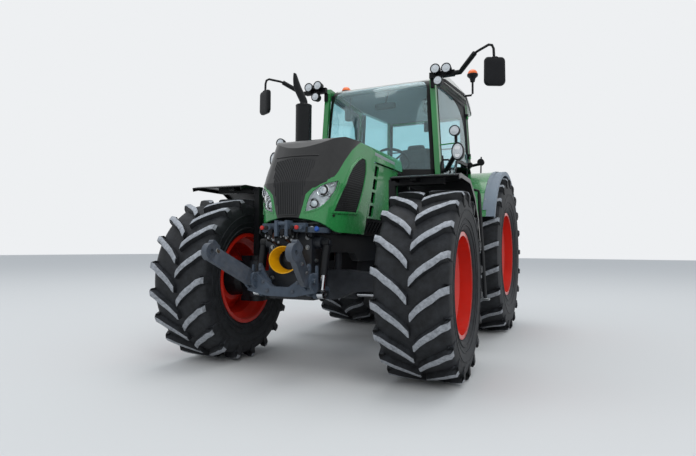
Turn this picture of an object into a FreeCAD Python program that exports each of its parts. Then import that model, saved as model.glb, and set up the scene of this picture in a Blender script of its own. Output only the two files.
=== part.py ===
"""Farm tractor of the 240 horsepower class, as an assembly of separate pieces.

Millimetres, +Z up, +Y to the rear, +X to the driver's left.  Every piece is drawn with Y counted from the
rear axle; the last step moves all of them so that the frame's origin is on the ground, midway between the
foremost and the rearmost point.
"""
import FreeCAD
import Part
import math
import os

V = FreeCAD.Vector

# Overall stance
WHEELBASE = 2783.0
FRONT_TRACK = 1960.0
REAR_TRACK = 1700.0
STEER_REST = 2.2          # degrees, wheels turned a little to the left
GAP = 0.3                 # clearance between pieces that seat on each other

# Tyres and rims
FRONT_TYRE_R = 722.0
FRONT_TYRE_W = 548.0
FRONT_FLANGE_R = 405.0
FRONT_RIM_W = 462.0
REAR_TYRE_R = 942.0
REAR_TYRE_W = 650.0
REAR_FLANGE_R = 507.0
REAR_RIM_W = 550.0
FRONT_LUGS = 19           # lugs in each of the two rows
REAR_LUGS = 21
LUG_H = 46.0
LUG_HALF_W = 34.0         # half width of a lug's top, measured round the tyre

FRONT_Y = -WHEELBASE
FRONT_X = FRONT_TRACK / 2
REAR_X = REAR_TRACK / 2
FRONT_Z = FRONT_TYRE_R
REAR_Z = REAR_TYRE_R

# Steering
KINGPIN_X = 650.0
KINGPIN_R = 72.0
KNUCKLE_H = 190.0         # half height of the kingpin barrel
STEER_ARM = 200.0         # kingpin to tie rod eye
HUB_FACE = 250.0          # kingpin to the face that carries the front wheel
REAR_HUB_X = REAR_X - 180 # centre line to the face that carries the rear wheel

# Chassis
FRAME_HALF_W = 190.0
FRAME_NOSE_Y = FRONT_Y - 507
RAIL_TOP_Z = 1110.0
RAIL_ARCH_Z = 960.0
AXLE_BEAM_R = 95.0
ENGINE_HALF_W = 270.0
ENGINE_FRONT_Y = FRONT_Y + 43
ENGINE_REAR_Y = -1860.0
ENGINE_TOP_Z = 1640.0
GEARBOX_HALF_W = 215.0
GEARBOX_REAR_Y = 330.0
TRUMPET_R = 135.0

# Bonnet
NOSE_Y = FRONT_Y - 552
BONNET_REAR_Y = -1875.0
BONNET_HALF_W = 420.0
BONNET_LOW_HALF_W = 392.0
BONNET_LOW_Z = 1115.0
BONNET_TOP_Z = 1950.0
BONNET_WALL = 12.0
SIDE_SPLIT_Z = 1745.0     # lower edge of the bonnet over the side panels
PANEL_LOW_Z = 1248.0
PANEL_X = 392.0           # outer face of the side panels
PANEL_T = 16.0
BULKHEAD_Y = -1990.0
BONNET_HINGE = (-1892.0, 1909.0)
RUNNING = 0.08            # radial clearance of a pin that turns in its hole

# Cab
CAB_FRONT_Y = -1470.0
CAB_REAR_Y = 340.0
SILL_Z = 1300.0
ROOF_Z = 2790.0
ROOF_TOP_Z = 2960.0
CAB_FRONT_X = 728.0       # half width at the front pillar
CAB_MID_X = 805.0         # half width at the door hinge
DOOR_HINGE_Y = -430.0
DOOR_T = 30.0
DOOR_RAIL = 34.0
PILLAR = 62.0
LEAN_DEG = 3.5            # the cab sides lean in by this
GLASS_T = 6.0
FLOOR_Z = 1230.0
FLOOR_T = 60.0
ARCH_X = REAR_X - REAR_TYRE_W / 2 - 30   # outer face of the cab wall between the rear wheels
REAR_POST_X = (553.0, 538.0)             # middle of the rear pillar, low and high

# Tanks, fenders
TANK_FRONT_Y = FRONT_Y + FRONT_TYRE_R + 396
FENDER_R = REAR_TYRE_R + 62
FENDER_T = 10.0
LEDGE_Z = REAR_TYRE_R + FENDER_R + FENDER_T + 2
LEDGE_TOP_Z = LEDGE_Z + 14
CAB_TOP_Z = ROOF_Z + 20 - GAP
FENDER_ENDS = (28, 156)   # degrees from the rear, over the top
FLARE_X = REAR_X + 190
FLARE_OUT_X = REAR_X + 285

# Front linkage
LIFT_PIVOT = (FRONT_Y - 332, 640.0)
LIFT_HINGE = (FRONT_Y - 657, 760.0)
LIFT_HALF_W = 290.0
LIFT_PLATE_X = 197.0      # inner face of the swinging frame's side plates
LIFT_PLATE_T = 28.0
LINK_X = LIFT_HALF_W - 42
LINK_L = 420.0
LINK_UP_DEG = 29.0        # the lowered link points this far above level
LINK_FOLD_DEG = 61.0      # folding raises it by this much more
LINK_SPLAY = 95.0
LINK_EYE_R = 62.0
LINK_BORE_R = 18.5
CYL_X = 282.0
CYL_TOP = (FRONT_Y - 432, 1035.0)
CYL_LOW = (FRONT_Y - 517, 655.0)

# Rear linkage
LOWER_PIVOT = (400.0, 560.0)
LOWER_L = 860.0
LOWER_X = 250.0
LOWER_END_X = 435.0
ARM_PIVOT = (430.0, 1145.0)
ARM_L = 330.0
ROD_AT = 0.43             # share of the lower link where the lift rod holds it
HOOK_R = 58.0
PTO_R = 17.45
PTO_L = 76.0
DRAWBAR_PIN_R = 20.0
JAW_PIN_Y = 590.0
JAW_Z = (420.0, 560.0)
PTO_REAR_Z = 740.0


# Shapes from outlines

def rounded(points):
    """Edges of a closed outline; a third number on a point rounds that corner by a tangent arc."""
    spans = []
    count = len(points)
    for i, corner in enumerate(points):
        p = V(corner[0], corner[1], 0)
        radius = corner[2] if len(corner) > 2 else 0
        if not radius:
            spans.append((p, None, p))
            continue
        a = V(points[i - 1][0], points[i - 1][1], 0)
        b = V(points[(i + 1) % count][0], points[(i + 1) % count][1], 0)
        u, w = (a - p).normalize(), (b - p).normalize()
        half = math.acos(max(-1, min(1, u.dot(w)))) / 2
        back = radius / math.tan(half)
        mid = (u + w).normalize() * (radius / math.sin(half) - radius)
        spans.append((p + u * back, p + mid, p + w * back))
    edges = []
    for i, (start, mid, end) in enumerate(spans):
        if mid is not None:
            edges.append(Part.Arc(start, mid, end).toShape())
        following = spans[(i + 1) % count][0]
        if (following - end).Length > 1e-6:
            edges.append(Part.LineSegment(end, following).toShape())
    return edges


def prism(axis, points, low, high):
    """Outline drawn in the two other axes (in X, Y, Z order), run along axis from low to high."""
    face = Part.Face(Part.Wire(rounded(points)))
    if axis == "z":
        face.translate(V(0, 0, low))
        return face.extrude(V(0, 0, high - low))
    if axis == "x":
        turn = FreeCAD.Placement(V(low, 0, 0), FreeCAD.Rotation(V(0, 1, 0), V(0, 0, 1), V(1, 0, 0), "XYZ"))
        face.Placement = turn
        return face.extrude(V(high - low, 0, 0))
    turn = FreeCAD.Placement(V(0, low, 0), FreeCAD.Rotation(V(1, 0, 0), V(0, 0, 1), V(0, -1, 0), "XYZ"))
    face.Placement = turn
    return face.extrude(V(0, high - low, 0))


def box(x0, x1, y0, y1, z0, z1):
    return Part.makeBox(x1 - x0, y1 - y0, z1 - z0, V(x0, y0, z0))


def rod(start, end, radius):
    """Round bar from start to end."""
    a, b = V(*start), V(*end)
    return Part.makeCylinder(radius, (b - a).Length, a, b - a)


def turned(points, x, y, z):
    """Solid of revolution about the line along X through (y, z); points are (distance along X, radius)."""
    face = Part.Face(Part.Wire(rounded(points)))
    face.Placement = FreeCAD.Placement(V(0, 0, 0), FreeCAD.Rotation(V(1, 0, 0), V(0, 0, 1), V(0, -1, 0), "XYZ"))
    solid = face.revolve(V(0, 0, 0), V(1, 0, 0), 360)
    solid.translate(V(x, y, z))
    return solid


def tube(points, radius, bend):
    """Bar of round section along straight runs joined by arcs of the bend radius."""
    pts = [V(*p) for p in points]
    edges = []
    start = pts[0]
    for i in range(1, len(pts) - 1):
        u, w = (pts[i - 1] - pts[i]).normalize(), (pts[i + 1] - pts[i]).normalize()
        half = math.acos(max(-1, min(1, u.dot(w)))) / 2
        back = bend / math.tan(half)
        mid = pts[i] + (u + w).normalize() * (bend / math.sin(half) - bend)
        edges.append(Part.LineSegment(start, pts[i] + u * back).toShape())
        edges.append(Part.Arc(pts[i] + u * back, mid, pts[i] + w * back).toShape())
        start = pts[i] + w * back
    edges.append(Part.LineSegment(start, pts[-1]).toShape())
    path = Part.Wire(edges)
    ring = Part.Wire(Part.makeCircle(radius, pts[0], pts[1] - pts[0]))
    return path.makePipeShell([ring], True, True)


def strut(a, b, wide, deep):
    """Rectangular bar between two points, level at both ends: wide along X, deep along Y."""
    ends = []
    for x, y, z in (a, b):
        p = [V(x - wide / 2, y - deep / 2, z), V(x + wide / 2, y - deep / 2, z),
             V(x + wide / 2, y + deep / 2, z), V(x - wide / 2, y + deep / 2, z)]
        ends.append(Part.makePolygon(p + p[:1]))
    return Part.makeLoft(ends, True, True)


def band(points, thick, x0, x1):
    """Sheet that follows a line of points in Y and Z, thick inwards (to the right of the line)."""
    inner = []
    for i, p in enumerate(points):
        a = V(*points[max(i - 1, 0)], 0)
        b = V(*points[min(i + 1, len(points) - 1)], 0)
        along = (b - a).normalize()
        inner.append((p[0] + along.y * thick, p[1] - along.x * thick))
    return prism("x", list(points) + inner[::-1], x0, x1)


def arc_sheet(y, z, radius, thick, x0, x1, start, end):
    """Sheet bent round a line along X: angles in degrees from the rear, over the top, towards the front."""
    ring = Part.makeCylinder(radius + thick, x1 - x0, V(x0, y, z), V(1, 0, 0))
    ring = ring.cut(Part.makeCylinder(radius, x1 - x0, V(x0, y, z), V(1, 0, 0)))
    far = 2 * (radius + thick)
    steps = 6
    fan = [(y, z)]
    for i in range(steps + 1):
        angle = math.radians(start + (end - start) * i / steps)
        fan.append((y + far * math.cos(angle), z + far * math.sin(angle)))
    return ring.common(prism("x", fan, x0, x1))


def mirrored(shape):
    return shape.mirror(V(0, 0, 0), V(1, 0, 0))


def both(shape):
    """The piece and its mirror image as two solids of one node."""
    return [shape, mirrored(shape)]


def fuse(*shapes):
    whole = shapes[0].fuse(list(shapes[1:])) if len(shapes) > 1 else shapes[0]
    return whole.removeSplitter()


def turn(shape, centre, axis, degrees):
    copy = shape.copy()
    copy.rotate(V(*centre), V(*axis), degrees)
    return copy


# Wheels

def tyre(radius, width, flange, rim_w, lugs, x, y):
    """Tyre with two rows of slanted lugs, as one shell of flat facets between rings of corners.

    Each row's rings run round at a distance from the middle: the lug's flanks and top stand over the floor at
    the first three, and the wall, the bead and its seat follow with two even corners to a lug.
    """
    half, rim = width / 2, rim_w / 2
    pitch = 2 * math.pi / lugs
    top_a = LUG_HALF_W / radius
    foot_a = (LUG_HALF_W + 9) / radius
    high = radius / math.cos(top_a)
    # Distance from the middle, run of the lug round the tyre, radius of its top, radius of the floor
    stations = [(14, 0, high, radius - LUG_H), (108, 92, high - 4, radius - LUG_H - 2),
                (half - 14, 190, high - 16, radius - LUG_H - 18)]
    even = math.cos(pitch / 4)
    seat = (flange - 22 + GAP) / even
    bead = (flange + GAP) / even
    walls = [(half, 0.5 * (flange + radius) - 10), (rim - 18 - GAP, bead), (rim - 18 - GAP, seat)]
    start = -math.pi / 2

    def corner(hand, across, ring_r, angle):
        return V(x + hand * across, y - ring_r * math.cos(angle), radius + ring_r * math.sin(angle))

    def skin(near, far):
        """Triangles between two closed rings of corners, each a list of (angle, corner) that grows."""
        i, j, found = 0, 0, []
        count_n, count_f = len(near), len(far)
        while i < count_n or j < count_f:
            here, there = near[i % count_n], far[j % count_f]
            next_n = near[(i + 1) % count_n][0] + 2 * math.pi * ((i + 1) // count_n)
            next_f = far[(j + 1) % count_f][0] + 2 * math.pi * ((j + 1) // count_f)
            if j >= count_f or (i < count_n and next_n <= next_f):
                found.append((here[1], near[(i + 1) % count_n][1], there[1]))
                i += 1
            else:
                found.append((here[1], far[(j + 1) % count_f][1], there[1]))
                j += 1
        return found

    triangles = []
    inner_rings = []
    seats = []
    for hand in (1, -1):
        first = start + (0 if hand == 1 else pitch / 2)
        floors, last = [], None
        rows = []
        for across, run, top_r, floor_r in stations:
            ring = []
            for k in range(lugs):
                middle = first + k * pitch + run / radius
                ring.append((middle, corner(hand, across, floor_r, middle - foot_a),
                             corner(hand, across, top_r, middle - top_a), corner(hand, across, top_r, middle + top_a),
                             corner(hand, across, floor_r, middle + foot_a)))
            rows.append(ring)
        for near, far in zip(rows, rows[1:]):
            for k in range(lugs):
                a, b, nxt_a, nxt_b = near[k], far[k], near[(k + 1) % lugs], far[(k + 1) % lugs]
                quads = [(a[i], a[i + 1], b[i + 1], b[i]) for i in (1, 2, 3)] + [(a[4], nxt_a[1], nxt_b[1], b[4])]
                for p, q, r, t in quads:
                    triangles.extend([(p, q, t), (q, r, t)])
        for ring in (rows[0], rows[-1]):
            for row in ring:
                triangles.extend([(row[1], row[2], row[3]), (row[1], row[3], row[4])])
        for ring in (rows[0], rows[-1]):
            floor = []
            for row in ring:
                floor += [(row[0] - foot_a, row[1]), (row[0] + foot_a, row[4])]
            floors.append(floor)
        inner_rings.append(floors[0])
        last = floors[1]
        offset = last[0][0] + foot_a - pitch / 4
        for across, ring_r in walls:
            ring = [(offset + k * pitch / 2, corner(hand, across, ring_r, offset + k * pitch / 2))
                    for k in range(2 * lugs)]
            triangles.extend(skin(last, ring))
            last = ring
        seats.append(last)
    triangles.extend(skin(*inner_rings))
    triangles.extend(skin(*seats))
    faces = [Part.Face(Part.makePolygon([p, q, r, p])) for p, q, r in triangles]
    solid = Part.makeSolid(Part.makeShell(faces))
    if solid.Volume < 0:
        solid.reverse()
    return solid.removeSplitter()


def rim(flange, rim_w, hub_face, hub_r, x, y, z):
    """Rim with a drop centre and a dished disc whose hub face lies at hub_face from the wheel's middle."""
    h = rim_w / 2
    seat = flange - 22
    well = flange - 75
    t = 9
    disc = well - 40
    profile = [(-h, flange), (-h + 18, flange), (-h + 18, seat), (-h + 75, seat - 4), (-h + 115, well),
               (h - 150, well), (h - 95, seat - 4), (h - 18, seat), (h - 18, flange), (h, flange),
               (h, seat - t), (h - 100, seat - 4 - t), (h - 158, well - t), (h - 185, disc),
               (hub_face + 70, hub_r + 60), (hub_face + 26, hub_r + 8), (hub_face + 26, 0),
               (hub_face, 0), (hub_face, hub_r), (hub_face + 8, hub_r + 50),
               (h - 215, disc + 10), (h - 205, well - t), (-h + 110, well - t), (-h + 70, seat - 4 - t),
               (-h, seat - t)]
    return turned(profile, x, y, z)


def hub_cap(x, y, z, radius, length):
    """Planetary hub that stands out of the disc."""
    return turned([(0, 0), (0, radius), (length * 0.55, radius), (length, radius * 0.72), (length, 0)], x, y, z)


def front_wheel():
    """Left front wheel, straight ahead."""
    face = KINGPIN_X + HUB_FACE + GAP - FRONT_X
    disc = rim(FRONT_FLANGE_R, FRONT_RIM_W, face, 150, FRONT_X, FRONT_Y, FRONT_Z)
    cap = hub_cap(FRONT_X + face + 20, FRONT_Y, FRONT_Z, 118, 130)
    tread = tyre(FRONT_TYRE_R, FRONT_TYRE_W, FRONT_FLANGE_R, FRONT_RIM_W, FRONT_LUGS, FRONT_X, FRONT_Y)
    return fuse(disc, cap), tread


def rear_wheel():
    face = REAR_HUB_X + GAP - REAR_X
    disc = rim(REAR_FLANGE_R, REAR_RIM_W, face, 190, REAR_X, 0, REAR_Z)
    cap = hub_cap(REAR_X + face + 20, 0, REAR_Z, 105, 80)
    return fuse(disc, cap), tyre(REAR_TYRE_R, REAR_TYRE_W, REAR_FLANGE_R, REAR_RIM_W, REAR_LUGS, REAR_X, 0)


def front_axle():
    """Beam with its differential, a barrel for each kingpin and the two suspension struts."""
    z = FRONT_Z
    beam = prism("y", [(-KINGPIN_X, z - 60), (-330, z - 85, 40), (-170, z - 150, 60), (170, z - 150, 60),
                       (330, z - 85, 40), (KINGPIN_X, z - 60), (KINGPIN_X, z + 60), (250, z + 95, 60),
                       (-250, z + 95, 60), (-KINGPIN_X, z + 60)], FRONT_Y - 75, FRONT_Y + 75)
    drive = rod((0, FRONT_Y, z - 20), (0, FRONT_Y + 330, z - 20), 68)
    parts = [beam, drive]
    for side in (-1, 1):
        parts.append(rod((side * KINGPIN_X, FRONT_Y, z - KNUCKLE_H + 30),
                         (side * KINGPIN_X, FRONT_Y, z + KNUCKLE_H - 30), KINGPIN_R))
        parts.append(rod((side * 162, FRONT_Y, z + 60), (side * 162, FRONT_Y, RAIL_ARCH_Z - GAP), 30))
    ram = rod((-250, FRONT_Y + STEER_ARM, z - 120), (250, FRONT_Y + STEER_ARM, z - 120), 42)
    ram = ram.cut(rod((-260, FRONT_Y + STEER_ARM, z - 120), (260, FRONT_Y + STEER_ARM, z - 120), 22 + GAP))
    saddle = box(-90, 90, FRONT_Y + 60, FRONT_Y + STEER_ARM - 36, z - 150, z - 85)
    return fuse(*parts, saddle, ram)


def tie_rods():
    """Double ended piston rod of the steering ram with an eye over each steering arm."""
    y, z = FRONT_Y + STEER_ARM, FRONT_Z - 120
    reach = KINGPIN_X - 20
    bar = rod((-reach, y, z), (reach, y, z), 22)
    eyes = [rod((s * reach, y, z - 24), (s * reach, y, z + 24), 40) for s in (-1, 1)]
    return fuse(bar, *eyes)


def knuckle():
    """Left knuckle: yoke round the kingpin barrel, hub stub, steering arm and the post that holds the fender."""
    x, y, z = KINGPIN_X, FRONT_Y, FRONT_Z
    top, low = z + KNUCKLE_H - 30, z - KNUCKLE_H + 30
    lugs = [rod((x, y, top + GAP), (x, y, top + 42), 80), rod((x, y, low - 42), (x, y, low - GAP), 80)]
    web = prism("z", [(x, y - 70), (x + 125, y - 70, 25), (x + 125, y + 70, 25), (x, y + 70)], low - 42, top + 42)
    web = web.cut(rod((x, y, low - 60), (x, y, top + 60), KINGPIN_R + 8))
    plates = [prism("z", [(x, y - 70), (x + 125, y - 70), (x + 125, y + 70), (x, y + 70)], a, b)
              for a, b in ((top + GAP, top + 42), (low - 42, low - GAP))]
    stub = turned([(0, 0), (0, 125), (50, 150), (HUB_FACE - 100, 165), (HUB_FACE - 100, 0)], x + 100, y, z)
    arm_z = FRONT_Z - 120 - 24 - 5
    arm = prism("z", [(x - 45, y), (x + 70, y - 20), (x + 45, y + 90, 30), (x + 20, y + STEER_ARM + 40, 38),
                      (x - 62, y + STEER_ARM + 40, 38), (x - 62, y + STEER_ARM - 30, 20)],
                low - 42, low - GAP)
    riser = rod((x - 20, y + STEER_ARM, low - GAP - 1), (x - 20, y + STEER_ARM, arm_z), 36)
    post = box(x - 26, x + 26, y - 30, y + 30, top + 40, FENDER_ARM_Z)
    reach = box(x - 26, x + 420, y - 30, y + 30, FENDER_ARM_Z - 50, FENDER_ARM_Z)
    reach = reach.cut(box(x + 40, x + 60, y - 31, y + 31, FENDER_ARM_Z - 28, FENDER_ARM_Z + 1))
    rail = box(x + 180, x + 230, y - 130, y + 230, FENDER_ARM_Z - 30, FENDER_ARM_Z)
    return fuse(*lugs, web, *plates, stub, arm, riser, post, reach, rail)


FENDER_T_FRONT = 9.0
FENDER_TOP_Z = 1556.0
FENDER_ARM_Z = FENDER_TOP_Z - FENDER_T_FRONT - GAP
FENDER_LINE = [(-215, 1538), (-140, FENDER_TOP_Z), (250, FENDER_TOP_Z), (480, 1440), (660, 1255), (780, 990)]


def front_fender():
    """Left front fender: a moulded sheet over and behind the tyre, cut away where it swings near the bonnet."""
    x = KINGPIN_X
    line = [(FRONT_Y + y, z) for y, z in FENDER_LINE]
    skin = band(line, FENDER_T_FRONT, x + 45, x + 575)
    lips = [band(line, 34, a, a + 9) for a in (x + 45, x + 566)]
    whole = skin.fuse(lips).removeSplitter()
    away = prism("z", [(x, FRONT_Y + 290), (x + 45, FRONT_Y + 290), (x + 300, FRONT_Y + 560),
                       (x + 300, FRONT_Y + 900), (x, FRONT_Y + 900)], 800, 1700)
    return whole.cut(away)


def rear_axle_and_gearbox():
    """Cast gearbox with the rear axle's trumpet housings, one casting from below and behind."""
    w = GEARBOX_HALF_W
    start = ENGINE_REAR_Y + GAP
    body = prism("x", [(start, 640), (-1300, 600, 60), (-420, 560, 80), (GEARBOX_REAR_Y, 520, 60),
                       (GEARBOX_REAR_Y, 1180, 40), (-350, 1190, 80), (-900, 1120, 80), (start, 1160)], -w, w)
    bell = prism("y", [(-260, 620, 90), (260, 620, 90), (260, 1190, 120), (-260, 1190, 120)], start, start + 180)
    centre = prism("y", [(-300, 560, 90), (300, 560, 90), (300, 1180, 120), (-300, 1180, 120)], -330, 290)
    trumpets = []
    for side in (-1, 1):
        profile = [(0, 0), (0, 200), (side * 60, 185), (side * 130, TRUMPET_R),
                   (side * (REAR_HUB_X - 340), TRUMPET_R - 15), (side * (REAR_HUB_X - 320), 175),
                   (side * (REAR_HUB_X - 290), 175), (side * (REAR_HUB_X - 290), 0)]
        trumpets.append(turned(profile, side * 290, 0, REAR_Z))
    z = PTO_REAR_Z
    shaft = rod((0, GEARBOX_REAR_Y - 10, z), (0, GEARBOX_REAR_Y + 20 + PTO_L, z), PTO_R)
    boss = rod((0, GEARBOX_REAR_Y - 10, z), (0, GEARBOX_REAR_Y + 20, z), 70)
    return fuse(body, bell, centre, *trumpets, boss, shaft)


def engine():
    """Plain block of the engine's size with its sump, and the cooler pack ahead of it."""
    z = RAIL_TOP_Z + GAP
    top = box(-ENGINE_HALF_W, ENGINE_HALF_W, ENGINE_FRONT_Y, ENGINE_REAR_Y, z, ENGINE_TOP_Z)
    sump = box(-120, 120, -2300, ENGINE_REAR_Y, 780, z)
    shaft = rod((0, FRONT_Y + 330 + GAP, FRONT_Z - 20), (0, ENGINE_REAR_Y, FRONT_Z - 20), 34)
    tunnel = box(-60, 60, -2200, ENGINE_REAR_Y, FRONT_Z - 60, 780)
    cooler = box(-250, 250, FRONT_Y - 317, FRONT_Y - 117, z, 1700)
    return [fuse(top, sump, tunnel, shaft), cooler]


def front_frame():
    """Cast front frame: two rails with an arch over the axle and a deep nose plate."""
    side = [(FRAME_NOSE_Y, 600, 30), (FRAME_NOSE_Y, RAIL_TOP_Z), (-1900, RAIL_TOP_Z), (-1900, 880, 40),
            (FRONT_Y + 363, 880, 60), (FRONT_Y + 263, RAIL_ARCH_Z, 60), (FRONT_Y - 227, RAIL_ARCH_Z, 60),
            (FRONT_Y - 257, 600, 30)]
    rails = prism("x", side, -FRAME_HALF_W, FRAME_HALF_W)
    rails = rails.cut(box(-128, 128, FRONT_Y - 397, -1800, 500, 1300))
    nose_cut = rod((0, FRAME_NOSE_Y - 10, PTO_FRONT_Z), (0, FRAME_NOSE_Y + 40, PTO_FRONT_Z), 88)
    shaft = rod((0, FRAME_NOSE_Y + 60, PTO_FRONT_Z), (0, FRAME_NOSE_Y + 30 - PTO_L, PTO_FRONT_Z), PTO_R)
    pins = []
    for s in (-1, 1):
        pins.append(rod((s * FRAME_HALF_W, *LIFT_PIVOT), (s * (LIFT_PLATE_X - GAP), *LIFT_PIVOT), 60))
        pins.append(rod((s * FRAME_HALF_W, *LIFT_PIVOT), (s * (LIFT_PLATE_X + LIFT_PLATE_T + 14), *LIFT_PIVOT), 26))
        pins.append(rod((s * FRAME_HALF_W, *CYL_TOP), (s * (CYL_X - 38), *CYL_TOP), 48))
        pins.append(rod((s * FRAME_HALF_W, *CYL_TOP), (s * (CYL_X + 32), *CYL_TOP), 20))
    return fuse(fuse(rails, *pins).cut(nose_cut), shaft)


PTO_FRONT_Z = 905.0
PTO_CUP = (125.0, 104.0)   # half width and half height of the guard's mouth


def pto_guard():
    """Cup round the front power take-off: an oval mouth that narrows to the frame, open at both ends."""
    a, b = PTO_CUP
    front, back = FRAME_NOSE_Y - 100, FRAME_NOSE_Y - GAP

    def ring(half_w, half_h, y):
        curve = Part.Ellipse(V(0, y, PTO_FRONT_Z), half_w, half_h)
        curve.Axis = V(0, -1, 0)
        curve.XAxis = V(1, 0, 0)
        return Part.Wire(curve.toShape())

    outer = Part.makeLoft([ring(a, b, front), ring(a - 22, b - 20, back)], True, True)
    inner = Part.makeLoft([ring(a - 7, b - 7, front), ring(a - 29, b - 27, back)], True, True)
    return outer.cut(inner)


def front_bumper():
    """Grey nose casting under the lamps with the coupler block and the top link's ears."""
    z = RAIL_TOP_Z + GAP
    y = NOSE_Y
    shelf = prism("z", [(-262, y + 225), (-282, y + 150, 60), (-205, y - 12, 60), (205, y - 12, 60),
                        (282, y + 150, 60), (262, y + 225)], z, z + 42)
    ears = [box(s * 45 - 12, s * 45 + 12, y - 90, y - 10, z - 30, z + 90) for s in (-1, 1)]
    plate = box(-190, 190, y - 50, y - 11, z + 4, z + 70)
    couplers = [rod((x, y - 49, z + 36), (x, y - 85, z + 36), 18) for x in (-160, -115, 115, 160)]
    hook = rod((-57, y - 69, z + 66), (57, y - 69, z + 66), 15)
    return fuse(shelf, *ears, plate, hook, *couplers)


# Front linkage

def lift_frame():
    """Swinging frame of the front linkage: two side arms and a deep cross member hollowed for the drive shaft."""
    py, pz = LIFT_PIVOT
    hy, hz = LIFT_HINGE
    w = LIFT_HALF_W
    arms = []
    for s in (-1, 1):
        a, b = sorted((s * LIFT_PLATE_X, s * (LIFT_PLATE_X + LIFT_PLATE_T)))
        plate = prism("x", [(py + 62, pz - 45, 40), (py + 62, pz + 55, 40), (py - 60, pz + 62, 30),
                            (hy + 50, hz + 50, 20), (hy + 20, hz + 50), (hy + 20, hz - 75), (hy + 60, hz - 118, 30)],
                      a, b)
        arms.append(plate.cut(rod((a - 9, py, pz), (b + 9, py, pz), 26 + GAP)))
    dip = PTO_CUP[0] + 38
    face = [(-w, hz - 90), (-120, hz - 125, 60), (120, hz - 125, 60), (w, hz - 90), (w, hz + 55, 20), (w - 75, hz + 50, 40),
            (dip, hz + 5, 60), (70, hz - 56, 70), (-70, hz - 56, 70), (-dip, hz + 5, 60), (75 - w, hz + 50, 40),
            (-w, hz + 55, 20)]
    cross = prism("y", face, hy + 14, hy + 60)
    for s in (-1, 1):
        cross = cross.cut(box(s * LINK_X - 20, s * LINK_X + 20, hy - 1, hy + 61, hz, hz + 80))
        cross = cross.cut(rod((s * LINK_X - 20, hy, hz), (s * LINK_X + 20, hy, hz), 57))
    clevis = []
    for s in (-1, 1):
        for inner in (w - 82, w - 22):
            cheek = prism("x", [(hy + 20, hz - 80), (hy + 20, hz + 48), (hy - 25, hz + 50, 30), (hy - 46, hz, 30),
                                (hy - 25, hz - 50, 30)],
                          min(s * inner, s * (inner + 20)), max(s * inner, s * (inner + 20)))
            clevis.append(cheek)
    pins = [rod((s * (w - 90), hy, hz), (s * (w + 22), hy, hz), 17) for s in (-1, 1)]
    cy, cz = CYL_LOW
    lugs = []
    for s in (-1, 1):
        edge = s * (LIFT_PLATE_X + LIFT_PLATE_T - 2)
        lugs.append(rod((edge, cy, cz), (s * (CYL_X - 24 - 5), cy, cz), 38))
    return fuse(*arms, cross, *clevis, *pins, *lugs)


def front_link(side):
    """Forward link with its catch hook, drawn reaching forward from the hinge on its side."""
    hy, hz = LIFT_HINGE
    x = side * LINK_X
    out = side * LINK_SPLAY
    root = rod((x - 18.7, hy, hz), (x + 18.7, hy, hz), 50)
    near = hy - 75
    straight = prism("x", [(hy, hz - 50), (hy, hz + 50), (near, hz + 52), (near, hz - 64), (hy - 30, hz - 64)],
                     x - 18.7, x + 18.7)
    bar = [V(x - 18.7, near, hz - 64), V(x + 18.7, near, hz - 64), V(x + 18.7, near, hz + 52), V(x - 18.7, near, hz + 52)]
    tip_y = hy - LINK_L + 30
    end = [V(x + out - 22, tip_y, hz - 56), V(x + out + 22, tip_y, hz - 56), V(x + out + 22, tip_y, hz + 56),
           V(x + out - 22, tip_y, hz + 56)]
    arm = Part.makeLoft([Part.makePolygon(bar + bar[:1]), Part.makePolygon(end + end[:1])], True, True)
    eye = rod((x + out - 24, hy - LINK_L, hz), (x + out + 24, hy - LINK_L, hz), LINK_EYE_R)
    horn = prism("x", [(hy - LINK_L - 20, hz + 40), (hy - LINK_L + 60, hz + 20), (hy - LINK_L + 70, hz + 78, 15),
                       (hy - LINK_L - 35, hz + 92, 18)], x + out - 20, x + out + 20)
    whole = fuse(root, straight, arm, eye, horn)
    whole = whole.cut(rod((x - 40, hy, hz), (x + 40, hy, hz), 17 + GAP))
    return whole.cut(rod((x + out - 60, hy - LINK_L, hz), (x + out + 60, hy - LINK_L, hz), LINK_BORE_R))


def lift_cylinders():
    """Barrels hung on the frame and the rods that push the swinging frame down."""
    (ty, tz), (ly, lz) = CYL_TOP, CYL_LOW
    along = V(0, ly - ty, lz - tz).normalize()
    barrels, rods = [], []
    for s in (-1, 1):
        x = s * CYL_X
        start = V(x, ty, tz) + along * 24
        barrel = Part.makeCylinder(33, 226, start, along)
        eye = rod((x - 23.7, ty, tz), (x + 23.7, ty, tz), 34)
        hole = rod((x - 40, ty, tz), (x + 40, ty, tz), 20 + GAP)
        bore = Part.makeCylinder(22 + GAP, 260, V(x, ty, tz) + along * 60, along)
        barrels.append(fuse(barrel, eye).cut(hole).cut(bore))
        piston = Part.makeCylinder(22, (V(x, ly, lz) - V(x, ty, tz)).Length - 100, V(x, ty, tz) + along * 80, along)
        foot = rod((x - 23.7, ly, lz), (x + 23.7, ly, lz), 34)
        rods.append(fuse(piston, foot).cut(rod((x - 40, ly, lz), (x + 40, ly, lz), 19)))
    return barrels, rods


# Rear linkage

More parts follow.
